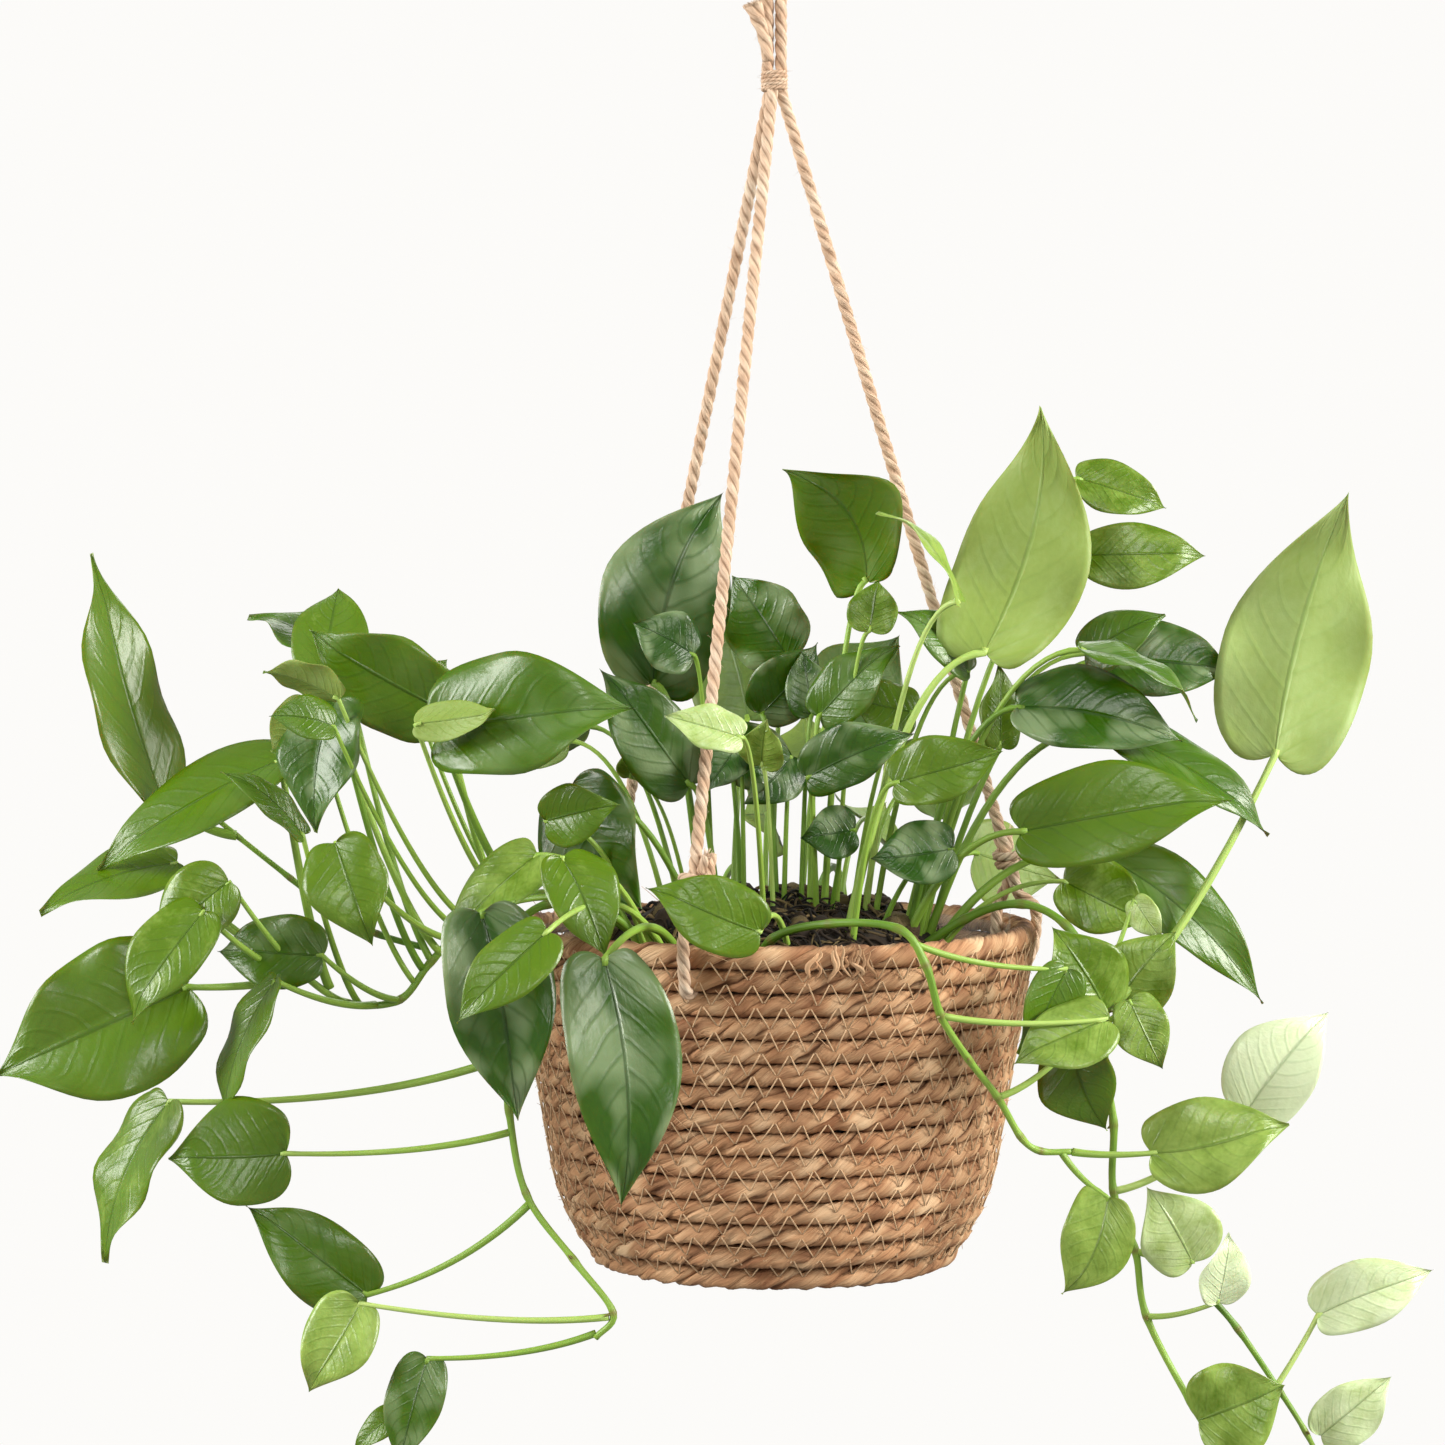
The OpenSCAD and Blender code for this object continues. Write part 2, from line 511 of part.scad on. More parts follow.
module grow_pot() {
    lip = 5;
    drain_d = 9;
    color("dimgray")
        translate([0, 0, rim_z])
            difference() {
                rotate_extrude()
                    polygon([[0, pot_z], [pot_foot_d / 2, pot_z], [pot_d / 2, pot_top - lip],
                        [pot_d / 2 + 2.5, pot_top - lip], [pot_d / 2 + 2.5, pot_top],
                        [pot_d / 2 - pot_wall, pot_top], [pot_foot_d / 2 - pot_wall, pot_z + pot_wall],
                        [0, pot_z + pot_wall]]);
                for (i = [0 : 5])
                    rotate([0, 0, 60 * i])
                        translate([pot_foot_d / 3, 0, pot_z - 1])
                            cylinder(d = drain_d, h = pot_wall + 2, $fn = 6);
            }
}

module soil() {
    foot = pot_z + pot_wall + gap;
    color("saddlebrown")
        translate([0, 0, rim_z])
            rotate_extrude()
                polygon([[0, foot], [pot_radius(foot) - pot_wall - gap, foot],
                    [pot_radius(soil_z) - pot_wall - gap, soil_z], [0, soil_z]]);
}

// Loose fibre and old roots, heaped over the soil.
module moss_mulch() {
    r = pot_radius(soil_z) - pot_wall - 4;
    rise = 40;
    color("peru")
        translate([0, 0, rim_z + soil_z])
            rotate_extrude()
                polygon(concat([[0, 0], [r, 0]],
                    [for (a = [10 : 20 : 90]) [r * cos(a), rise * sin(a)]]));
}

module stem_left() { stem(vine_left); }
module stem_left_upper() { stem(vine_left_upper); }
module stem_lower_left() { stem(vine_lower_left); }
module stem_front() { stem(vine_front); }
module stem_right() { stem(vine_right); }
module stem_right_small() { stem(vine_right_small); }
module stem_back() { stem(vine_back, [1, 0, 0]); }
module stem_back_left() { stem(vine_back_left, [1, 0, 0]); }

module stalks_upper_left() { stalks(leaves_upper_left); }
module stalks_lower_left() { stalks(leaves_lower_left); }
module stalks_centre_left() { stalks(leaves_centre_left); }
module stalks_centre_right() { stalks(leaves_centre_right); }
module stalks_upper_right() { stalks(leaves_upper_right); }
module stalks_lower_right() { stalks(leaves_lower_right); }
module stalks_back() { stalks(leaves_back); }

module leaf_set_upper_left() { leaf_set(leaves_upper_left); }
module leaf_set_lower_left() { leaf_set(leaves_lower_left); }
module leaf_set_centre_left() { leaf_set(leaves_centre_left); }
module leaf_set_centre_right() { leaf_set(leaves_centre_right); }
module leaf_set_upper_right() { leaf_set(leaves_upper_right); }
module leaf_set_lower_right() { leaf_set(leaves_lower_right); }
module leaf_set_back() { leaf_set(leaves_back); }

loop_bight();
loop_leg_left();
loop_leg_right();
rope_cut_tail();
neck_binding();
rope_leg_front_left();
rope_leg_right();
rope_leg_back_left();
rim_loop_front_left();
rim_loop_right();
rim_loop_back_left();
rim_knot_front_left();
rim_knot_right();
rim_knot_back_left();
rim_coil();
wall_coils_upper();
wall_coils_lower();
base_coils();
seam_thread();
plastic_liner();
grow_pot();
soil();
moss_mulch();
stem_left();
stem_left_upper();
stem_lower_left();
stem_front();
stem_right();
stem_right_small();
stem_back();
stem_back_left();
stalks_upper_left();
stalks_lower_left();
stalks_centre_left();
stalks_centre_right();
stalks_upper_right();
stalks_lower_right();
stalks_back();
leaf_set_upper_left();
leaf_set_lower_left();
leaf_set_centre_left();
leaf_set_centre_right();
leaf_set_upper_right();
leaf_set_lower_right();
leaf_set_back();
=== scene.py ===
import math

import bpy
import numpy as np
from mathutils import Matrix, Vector


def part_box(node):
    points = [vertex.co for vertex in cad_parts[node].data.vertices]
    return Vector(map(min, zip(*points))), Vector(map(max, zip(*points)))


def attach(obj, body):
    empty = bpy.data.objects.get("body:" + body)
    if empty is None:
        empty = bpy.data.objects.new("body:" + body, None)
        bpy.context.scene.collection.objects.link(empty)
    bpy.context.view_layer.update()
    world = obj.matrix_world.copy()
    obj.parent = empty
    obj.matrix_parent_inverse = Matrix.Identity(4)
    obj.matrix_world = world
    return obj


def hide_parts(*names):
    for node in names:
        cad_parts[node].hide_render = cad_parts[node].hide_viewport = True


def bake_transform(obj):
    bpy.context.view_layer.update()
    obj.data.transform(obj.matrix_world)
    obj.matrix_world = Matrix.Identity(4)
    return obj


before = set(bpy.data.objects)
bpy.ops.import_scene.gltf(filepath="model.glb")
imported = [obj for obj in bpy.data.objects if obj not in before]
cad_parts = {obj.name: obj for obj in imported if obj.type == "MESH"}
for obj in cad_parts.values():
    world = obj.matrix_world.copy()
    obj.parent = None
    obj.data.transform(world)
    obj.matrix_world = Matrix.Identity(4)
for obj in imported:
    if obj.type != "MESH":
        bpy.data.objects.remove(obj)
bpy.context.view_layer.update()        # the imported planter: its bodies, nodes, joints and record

# All shapes below are worked out in millimetres, with heights above (or below) the rim of the
# basket, and become metres in the shared frame when a mesh is made.

# ---- camera ----
CAMERA_X = -24.3        # a little left of the basket's axis
CAMERA_BACK = 2000.0    # distance in front of the basket's axis
EYE_RISE = 190.0        # height of the camera above the rim
AIM_RISE = 94.0         # height of the middle of the picture above the rim
CAMERA_LENS = 105.6     # focal length on a sensor 36 mm wide

# ---- basket ----
RIM_R = 125.0           # outside radius at the rim
STRAW_R = 5.5           # radius of the coiled straw cord
ROW_PITCH = 10.7        # spacing of the rows
WALL_ROWS = 15
WALL_TAPER = 0.17       # how much the wall closes in for each millimetre down
BEND_FROM = 110.0       # depth at which the wall starts to curve in to the bottom
BEND_IN = 14.0
PLY_PITCH = 46.0        # length of one whole turn of the two plies of the cord
PLY_OFF = 1.9           # a ply's centre line from that of its cord
PLY_THICK = 3.45        # half a ply's size outward, and across
PLY_WIDE = 5.05
CORD_END_ANGLE = -77    # where the end of the cord is bound down at the rim
HOLE_Z = -STRAW_R - 1.5 * ROW_PITCH    # where the ropes pass through the wall
RIM_Z = 1000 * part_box("rim_coil")[1][2] + 0.2    # the rim's height in the shared frame

# ---- ropes ----
ROPE_R = 3.0
ROPE_LAY = 20.0         # length of one whole turn of the three strands
ROPE_ANGLES = {"front_left": -109, "right": 11, "back_left": 131}
NECK_TOP = 1000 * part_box("neck_binding")[1][2] - RIM_Z
NECK_FOOT = 1000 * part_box("neck_binding")[0][2] - RIM_Z
LEG_TOP = (4.0, NECK_FOOT - 1.5)       # distance from the axis and height, where a leg is straight
LEG_FOOT = (118.5, 15.0)
RETURN_TOP = 40.0       # height of the rope's returning end above the rim
BIGHT_R = 9.0           # radius of the loop's line round the hook
HOOK_Z = -RIM_Z         # height of the hook seat above the rim

# ---- grow pot ----
POT_TOP = 1000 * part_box("grow_pot")[1][2] - RIM_Z
SOIL_Z = POT_TOP - 8
MULCH_R = 86.0          # radius and height of the heap of loose fibre
MULCH_RISE = 40.0

# ---- plant ----
VINE_R = 2.2
LEAF_T = 0.5            # thickness of a leaf
# How far the middle of some leaves is swept aside, as seen from the front: to the left of one
# that points up.  By set and place in the set.
SWEEP = {
    ("upper_left", 0): 10.0,
    ("centre_left", 6): 8.0,
    ("centre_left", 8): 7.0,
    ("centre_right", 0): -14.0,
    ("upper_right", 0): -8.0,
    ("upper_right", 11): 6.0,
    ("lower_right", 0): 5.0,
    ("lower_right", 1): -4.0,
    ("lower_right", 2): 3.0}

# Main stems, as points about the rim's centre.
VINES = {
    "stem_left": [[-45, -15, -24], [-78, -20, 4], [-108, -25, 15], [-136, -28, 8], [-160, -30, -16],
        [-175, -32, -34], [-199, -35, -35], [-219, -38, -22], [-245, -42, -4], [-274, -45, 20]],
    "stem_left_upper": [[-165, -24, -10], [-186, -22, -4], [-207, -20, 6], [-227, -19, 22],
        [-252, -19, 42], [-278, -19, 64]],
    "stem_lower_left": [[-40, -35, -24], [-76, -52, 6], [-104, -66, 14], [-122, -74, -2], [-126, -75, -38],
        [-122, -72, -80], [-114, -76, -118], [-92, -84, -147], [-74, -90, -170], [-82, -88, -182]],
    "stem_front": [[-12, -62, -24], [-2, -88, 0], [24, -108, 9], [54, -122, 8], [66, -124, -8],
        [73, -120, -31], [86, -108, -52], [100, -95, -71], [111, -88, -90], [120, -84, -97],
        [135, -80, -98]],
    "stem_right": [[48, -28, -24], [88, -36, 4], [114, -44, 12], [134, -52, 3], [147, -60, -18],
        [151, -66, -36], [151, -68, -62], [155, -68, -87], [155, -68, -118], [165, -70, -145],
        [170, -72, -175], [190, -76, -214], [203, -78, -235], [212, -78, -252]],
    "stem_right_small": [[201, -70, -168], [212, -72, -181], [231, -74, -209], [243, -74, -228],
        [252, -74, -246]],
    "stem_back": [[10, 50, -24], [22, 88, 4], [30, 116, 16], [36, 138, 6], [40, 144, -30], [34, 142, -66],
        [40, 138, -100], [30, 132, -134]],
    "stem_back_left": [[-20, 45, -24], [-16, 84, 6], [-18, 118, 16], [-24, 142, 4], [-32, 146, -34],
        [-44, 142, -72], [-40, 138, -104]],
}

# Leaves: where the stalk starts, leaf base, leaf tip, width, roll about the midrib, tone.
# Roll 0 turns the upper side to -Y; tone 0 is the darkest green and 1 the palest.
LEAVES = {
    "upper_left": [
        [[-252, -19, 42], [-286, -22, 57], [-318, -8, 175], 50, 57, 0.50],
        [[-207, -36, -28], [-228, -50, 79], [-314, -52, 30], 44, 50, 0.42],
        [[-245, -42, -4], [-277, -46, 31], [-338, -60, 10], 44, 58, 0.55],
        [[-193, -35, -36], [-216, -70, 46], [-252, -74, 76], 18, 52, 0.40],
        [[-156, -30, -12], [-208, -52, 118], [-205, -6, 158], 36, 5, 0.50],
        [[-160, -30, -16], [-200, -22, 119], [-246, -12, 146], 40, 66, 0.35],
        [[-142, -28, 2], [-198, -86, 109], [-231, -92, 122], 26, 130, 0.50],
        [[-146, -29, -2], [-199, -98, 97], [-227, -106, 102], 22, 30, 0.40],
        [[-168, -31, -26], [-214, -50, 104], [-233, -52, 84], 24, 150, 0.40],
        [[-164, -30, -20], [-201, -68, 107], [-209, -82, 48], 42, 28, 0.20],
        [[-150, -29, -6], [-199, -92, 44], [-182, -104, -1], 38, 0, 0.48],
        [[-128, -27, 12], [-152, -52, 102], [-214, -60, 138], 46, -12, 0.40],
        [[-126, -27, 12], [-162, -100, 98], [-124, -116, 104], 20, 150, 0.50],
        [[-124, -26, 13], [-167, -36, 107], [-152, -30, 125], 18, 20, 0.50],
        [[-118, -26, 14], [-152, -86, 94], [-66, -112, 107], 58, -20, 0.35]],
    "lower_left": [
        [[-219, -38, -22], [-269, -68, -24], [-357, -74, -64], 71, 15, 0.45],
        [[-219, -38, -22], [-260, -84, 12], [-293, -96, -36], 36, 20, 0.50],
        [[-199, -35, -35], [-249, -76, 25], [-280, -74, -6], 36, 20, 0.55],
        [[-175, -32, -34], [-208, -63, -10], [-259, -46, -9], 35, 15, 0.25],
        [[-186, -34, -36], [-228, -78, -20], [-252, -80, -86], 34, 60, 0.50],
        [[-121, -72, -90], [-222, -92, -97], [-275, -96, -98], 50, 10, 0.40],
        [[-124, -72, -56], [-281, -44, -80], [-311, -46, -155], 46, 52, 0.55],
        [[-112, -76, -122], [-188, -62, -167], [-243, -62, -125], 38, 15, 0.30],
        [[-76, -90, -172], [-190, -78, -168], [-214, -82, -208], 34, 10, 0.66],
        [[-82, -87, -180], [-159, -80, -193], [-172, -84, -242], 27, 0, 0.28],
        [[-159, -80, -193], [-170, -74, -218], [-194, -74, -238], 15, 40, 0.45]],
    "centre_left": [
        [[-56, -56, -20], [-104, -92, 54], [-71, -104, 62], 28, 0, 0.50],
        [[-30, -20, -20], [-94, -56, 66], [-62, -72, 12], 52, 18, 0.15],
        [[-52, -58, -20], [-96, -116, 39], [-76, -132, -4], 34, -25, 0.55],
        [[-58, -54, -20], [-108, -84, 38], [-148, -92, -4], 34, 38, 0.60],
        [[-50, -45, -20], [-132, -112, 14], [-116, -122, -78], 50, -8, 0.12],
        [[-46, -50, -20], [-101, -158, 10], [-140, -170, -28], 30, 18, 0.50],
        [[-40, -55, -20], [-76, -150, -3], [-68, -162, -111], 50, -5, 0.15],
        [[8, -58, -20], [-8, -146, 9], [-57, -152, 30], 34, 12, 0.52],
        [[-32, -8, -20], [-57, 2, 112], [-24, 8, 203], 63, 8, 0.10],
        [[-28, -12, -20], [-38, -32, 127], [-66, -34, 142], 30, 20, 0.10],
        [[-2, 8, -20], [7, 34, 124], [-20, 42, 163], 42, -20, 0.16],
        [[2, -12, -20], [-6, 0, 98], [22, 4, 131], 32, 15, 0.12],
        [[-4, -40, -20], [-16, -118, 93], [-50, -122, 103], 22, 30, 0.80],
        [[0, -35, -20], [-6, -40, 76], [-4, -52, 98], 22, -15, 0.65],
        [[-24, -18, -20], [-40, -20, 66], [-80, -26, 121], 38, 15, 0.10],
        [[4, -20, -20], [8, -22, 79], [-14, -40, 58], 28, 0, 0.05],
        [[-14, -22, -20], [-16, -22, 86], [-32, -34, 63], 24, 10, 0.05],
        [[-36, 8, -20], [-68, 0, 68], [-67, -4, 82], 14, 0, 0.55],
        [[-14, 14, -20], [-24, 18, 85], [18, 12, 62], 32, 10, 0.08]],
    "centre_right": [
        [[22, -20, -20], [43, -22, 161], [3, -34, 212], 56, -36, 0.40],
        [[28, -18, -20], [44, -32, 138], [48, -28, 162], 24, 0, 0.60],
        [[40, -15, -20], [84, -54, 152], [49, -54, 195], 26, 78, 0.65],
        [[44, -18, -20], [90, -24, 119], [56, -30, 148], 26, 40, 0.30],
        [[16, -25, -20], [21, -20, 98], [57, -26, 132], 30, -20, 0.30],
        [[12, -18, -20], [18, -8, 98], [13, -2, 128], 22, 0, 0.12],
        [[34, -12, -20], [66, -10, 99], [34, -14, 106], 30, 30, 0.50],
        [[20, -32, -20], [15, -50, 71], [63, -58, 92], 30, -15, 0.12],
        [[34, -60, -20], [54, -76, 70], [103, -82, 85], 32, -20, 0.55],
        [[24, -28, -20], [37, -40, 46], [12, -44, 43], 26, 20, 0.08],
        [[44, -34, -20], [82, -50, 38], [44, -54, 34], 32, 25, 0.08]],
    "upper_right": [
        [[30, -52, -20], [97, -36, 128], [124, -22, 242], 62, 178, 0.50],
        [[66, -12, -20], [143, 0, 209], [186, 4, 196], 28, -30, 0.60],
        [[68, -12, -20], [146, -6, 173], [203, -8, 174], 32, -15, 0.55],
        [[66, -20, -20], [145, -18, 127], [182, -22, 146], 28, -30, 0.30],
        [[70, -14, -20], [157, -2, 124], [218, -2, 119], 38, -25, 0.12],
        [[60, -26, -20], [113, -42, 103], [188, -48, 88], 42, -28, 0.12],
        [[64, -22, -20], [141, -50, 130], [196, -54, 101], 30, -70, 0.30],
        [[68, -18, -20], [151, -32, 93], [232, -34, 46], 36, -55, 0.25],
        [[58, -22, -20], [105, -24, 84], [105, -20, 122], 24, 30, 0.55],
        [[151, -66, -34], [234, -22, 80], [269, -4, 201], 70, 175, 0.62],
        [[56, -34, -20], [113, -62, 47], [207, -74, 64], 47, -18, 0.42],
        [[70, -26, -20], [146, -24, 36], [228, -30, -36], 38, -30, 0.36],
        [[72, -26, -20], [134, -38, 22], [174, -42, 3], 36, -10, 0.55],
        [[149, -62, -22], [165, -56, 15], [178, -58, -3], 15, 0, 0.75],
        [[100, -95, -71], [150, -80, -33], [126, -82, 5], 38, 20, 0.60],
        [[73, -120, -31], [149, -100, -35], [106, -110, -52], 34, 30, 0.62],
        [[60, -124, 2], [131, -93, -13], [110, -95, -52], 28, -20, 0.42],
        [[151, -66, -36], [156, -58, -34], [184, -60, 1], 36, -12, 0.60],
        [[151, -68, -40], [161, -78, -29], [176, -82, -60], 26, -10, 0.62],
        [[151, -68, -62], [134, -76, -48], [150, -84, -88], 38, 20, 0.42]],
    "lower_right": [
        [[130, -81, -98], [151, -86, -118], [130, -88, -162], 34, 5, 0.60],
        [[135, -80, -98], [171, -84, -98], [232, -90, -82], 43, -20, 0.65],
        [[155, -68, -118], [217, -62, -82], [254, -62, -36], 42, -15, 0.95],
        [[165, -70, -145], [191, -74, -150], [170, -78, -115], 38, 0, 0.75],
        [[170, -72, -175], [201, -86, -166], [206, -92, -134], 25, 20, 0.95],
        [[203, -78, -235], [250, -64, -176], [303, -66, -155], 32, -15, 0.90],
        [[190, -76, -214], [193, -82, -221], [232, -86, -204], 44, -10, 0.60],
        [[243, -74, -228], [250, -74, -230], [282, -76, -202], 28, -15, 0.85]],
    "back": [
        [[12, 30, -20], [30, 62, 96], [62, 84, 132], 52, 160, 0.15],
        [[-20, 28, -20], [-12, 70, 92], [-24, 96, 138], 50, 175, 0.20],
        [[40, 20, -20], [66, 64, 58], [104, 92, 82], 48, 150, 0.20],
        [[30, 40, -20], [46, 92, 42], [58, 138, 46], 46, 150, 0.35],
        [[-4, 44, -20], [-2, 98, 44], [-14, 150, 40], 46, 185, 0.30],
        [[-40, 20, -20], [-88, 40, 90], [-120, 62, 106], 34, 205, 0.25],
        [[-46, 10, -20], [-98, 26, 84], [-134, 40, 92], 30, 200, 0.35],
        [[20, 48, -20], [20, 86, 70], [16, 118, 92], 44, 180, 0.45],
        [[60, 26, -20], [100, 82, 26], [142, 112, 10], 44, 155, 0.40],
        [[40, 144, -30], [44, 152, -38], [74, 160, -72], 42, 170, 0.45],
        [[34, 142, -66], [30, 152, -72], [2, 160, -104], 40, 185, 0.35],
        [[40, 138, -100], [46, 146, -106], [74, 152, -136], 38, 172, 0.50],
        [[-32, 146, -34], [-36, 154, -40], [-70, 160, -66], 42, 190, 0.40],
        [[-44, 142, -72], [-46, 150, -80], [-76, 156, -114], 38, 188, 0.50],
        [[30, 132, -134], [30, 132, -136], [18, 134, -172], 30, 180, 0.65],
        [[-40, 138, -104], [-40, 138, -106], [-50, 140, -144], 30, 180, 0.60]],
}

# ---- shared shapes ----

def unit(v):
    """Vectors along the last axis, brought to length 1."""
    v = np.asarray(v, float)
    return v / np.maximum(np.linalg.norm(v, axis=-1, keepdims=True), 1e-9)


def smooth_step(x, low, high):
    t = np.clip((np.asarray(x, float) - low) / (high - low), 0, 1)
    return t * t * (3 - 2 * t)


def lengths(path):
    """Distance along the path at each of its points."""
    return np.concatenate([[0], np.cumsum(np.linalg.norm(np.diff(path, axis=0), axis=1))])


def smooth_path(points, step):
    """Catmull-Rom curve through the points, resampled at about the given step."""
    p = np.asarray(points, float)
    ends = np.vstack([2 * p[0] - p[1], p, 2 * p[-1] - p[-2]])
    t = np.linspace(0, 1, 12, endpoint=False)[:, None]
    parts = []
    for a, b, c, d in zip(ends, ends[1:], ends[2:], ends[3:]):
        parts.append(0.5 * (2 * b + (c - a) * t + (2 * a - 5 * b + 4 * c - d) * t ** 2
                            + (3 * b - a - 3 * c + d) * t ** 3))
    return resample(np.vstack(parts + [p[-1:]]), step)


def resample(path, step):
    s = lengths(path)
    at = np.linspace(0, s[-1], max(3, int(round(s[-1] / step)) + 1))
    return np.stack([np.interp(at, s, path[:, i]) for i in range(3)], axis=1)


def carried_frames(path):
    """Two side vectors at each point that turn as little as they can along the path."""
    heading = unit(np.gradient(path, axis=0))
    side = np.cross(heading[0], (0, 0, 1) if abs(heading[0][2]) < 0.9 else (1, 0, 0))
    sides = []
    for h in heading:
        side = unit(side - h * np.dot(side, h))
        sides.append(side)
    sides = np.array(sides)
    return sides, np.cross(heading, sides)


def round_turn(count):
    """Angles spaced evenly over one turn."""
    return np.linspace(0, 2 * math.pi, count, endpoint=False)


def on_circle(radius, angle, height):
    """Points about the basket's axis; radius and height may change with the angle."""
    points = np.broadcast_arrays(radius * np.cos(angle), radius * np.sin(angle), height)
    return np.stack(points, axis=-1)


def wander(count, waves, rng):
    """Smooth random curve that ends as it began, about -1 to 1, one value for each point."""
    at = round_turn(count)
    total = np.zeros(count)
    for k in range(1, waves + 1):
        total += rng.normal() * np.sin(k * at + rng.uniform(0, 2 * math.pi))
    return total / math.sqrt(waves)


def on_rim(angle, across, out, up):
    """Point at an angle round the basket, and across, outward and up from there."""
    c, s = math.cos(math.radians(angle)), math.sin(math.radians(angle))
    return [out * c - across * s, out * s + across * c, up]


class Soup:
    """Pieces of one mesh, gathered with named values for each vertex."""

    def __init__(self):
        self.verts, self.faces, self.layers, self.count = [], [], {}, 0

    def add(self, verts, faces, **layers):
        verts = np.asarray(verts, float).reshape(-1, 3)
        self.faces += [[i + self.count for i in face] for face in faces]
        self.verts.append(verts)
        self.count += len(verts)
        for name, values in layers.items():
            values = np.broadcast_to(values, (len(verts),) + np.shape(values)[1:])
            self.layers.setdefault(name, []).append(values)

    def build(self, name, body, material, slot, *stands_for):
        """Makes the object, and hides the CAD nodes that it stands for."""
        mesh = bpy.data.meshes.new(name)
        verts = (np.vstack(self.verts) + (0, 0, RIM_Z)) / 1000
        mesh.from_pydata(verts.tolist(), [], self.faces)
        for layer, values in self.layers.items():
            values = np.concatenate(values).astype(np.float32)
            if values.ndim == 2:
                kind, field = "FLOAT_VECTOR", "vector"
            else:
                kind, field = "FLOAT", "value"
            mesh.attributes.new(layer, kind, "POINT").data.foreach_set(field, values.ravel())
        mesh.polygons.foreach_set("use_smooth", [True] * len(mesh.polygons))
        mesh.materials.append(material)
        piece = bpy.data.objects.new(name, mesh)
        bpy.context.scene.collection.objects.link(piece)
        if body:
            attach(piece, body)
        if stands_for:
            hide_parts(*stands_for)
        return piece


def grid_faces(rows, columns, wrap_rows=False, wrap_columns=True):
    """Quads between the points of a grid, by row and column."""
    faces = []
    for i in range(rows if wrap_rows else rows - 1):
        a, b = i * columns, (i + 1) % rows * columns
        for j in range(columns if wrap_columns else columns - 1):
            k = (j + 1) % columns
            faces.append([a + j, a + k, b + k, b + j])
    return faces


def tube_faces(rows, columns):
    faces = grid_faces(rows, columns)
    faces.append(list(range(columns - 1, -1, -1)))
    faces.append([(rows - 1) * columns + j for j in range(columns)])
    return faces


def add_tube(soup, path, radius, sides=8, turn=0.0, outline=None, **layers):
    """Tube along a path. radius may change along it; outline scales it round the section."""
    a, b = carried_frames(path)
    at = round_turn(sides)
    outline = np.ones(sides) if outline is None else outline
    angle = at[None] + np.broadcast_to(turn, len(path))[:, None]
    r = np.broadcast_to(radius, len(path))[:, None] * outline[None]
    across, up = r * np.cos(angle), r * np.sin(angle)
    verts = path[:, None] + across[..., None] * a[:, None] + up[..., None] * b[:, None]
    along = np.broadcast_to(lengths(path)[:, None], across.shape)
    grain = np.stack([r * np.cos(at), r * np.sin(at), along], axis=-1) / 1000
    values = {"grain": grain.reshape(-1, 3)}
    for name, value in layers.items():
        values[name] = np.broadcast_to(value, across.shape).reshape(-1)
    soup.add(verts, tube_faces(len(path), sides), **values)


# ---- materials ----

class Shader:
    """A material whose nodes are added one call at a time."""

    def __init__(self, name, **sockets):
        self.material = bpy.data.materials.new(name)
        self.material.use_nodes = True
        self.nodes = self.material.node_tree.nodes
        self.surface = self.nodes["Principled BSDF"]
        for socket, value in sockets.items():
            self.set(self.surface, socket.replace("_", " "), value)

    def set(self, node, socket, value):
        target = node.inputs[socket]
        if isinstance(value, bpy.types.NodeSocket):
            self.material.node_tree.links.new(value, target)
        else:
            target.default_value = value

    def node(self, kind, inputs=(), **settings):
        node = self.nodes.new("ShaderNode" + kind)
        for name, value in settings.items():
            setattr(node, name, value)
        for socket, value in dict(inputs).items():
            self.set(node, socket, value)
        return node

    def value(self, name):
        """A vertex value of the mesh, as a number."""
        return self.node("Attribute", attribute_name=name).outputs["Fac"]

    def vector(self, name):
        return self.node("Attribute", attribute_name=name).outputs["Vector"]

    def place(self):
        """Where a point is on its own object."""
        return self.node("TexCoord").outputs["Object"]

    def scaled(self, vector, scale):
        return self.node("Mapping", {"Vector": vector, "Scale": scale}).outputs["Vector"]

    def noise(self, vector, scale, detail=3.0):
        return self.node("TexNoise", {"Vector": vector, "Scale": scale, "Detail": detail}).outputs["Fac"]

    def spread(self, value, low, high, to_low=0.0, to_high=1.0):
        """Stretches low..high to to_low..to_high, clamped."""
        names = ("Value", "From Min", "From Max", "To Min", "To Max")
        return self.node("MapRange", zip(names, (value, low, high, to_low, to_high))).outputs["Result"]

    def maths(self, operation, a, b=0.0):
        return self.node("Math", {0: a, 1: b}, operation=operation).outputs[0]

    def times(self, a, b):
        return self.maths("MULTIPLY", a, b)

    def plus(self, a, b):
        return self.maths("ADD", a, b)

    def mix(self, factor, a, b, blend="MIX"):
        return self.node("Mix", {0: factor, 6: a, 7: b}, data_type="RGBA", blend_type=blend).outputs[2]

    def ramp(self, value, *stops):
        """Colour by value; each stop is (place, colour)."""
        node = self.node("ValToRGB", {"Fac": value})
        ramp = node.color_ramp
        while len(ramp.elements) < len(stops):
            ramp.elements.new(0.5)
        for element, (place, colour) in zip(ramp.elements, stops):
            element.position = place
            element.color = colour
        return node.outputs["Color"]

    def bump(self, height, distance):
        node = self.node("Bump", {"Height": height, "Distance": distance, "Strength": 1.0})
        self.set(self.surface, "Normal", node.outputs["Normal"])

    def colour(self, value):
        self.set(self.surface, "Base Color", value)
        return self.material


def rgb(red, green, blue):
    """A screen colour, 0 to 255, as the linear colour that a shader takes."""
    return tuple((c / 255) ** 2.2 for c in (red, green, blue)) + (1.0,)


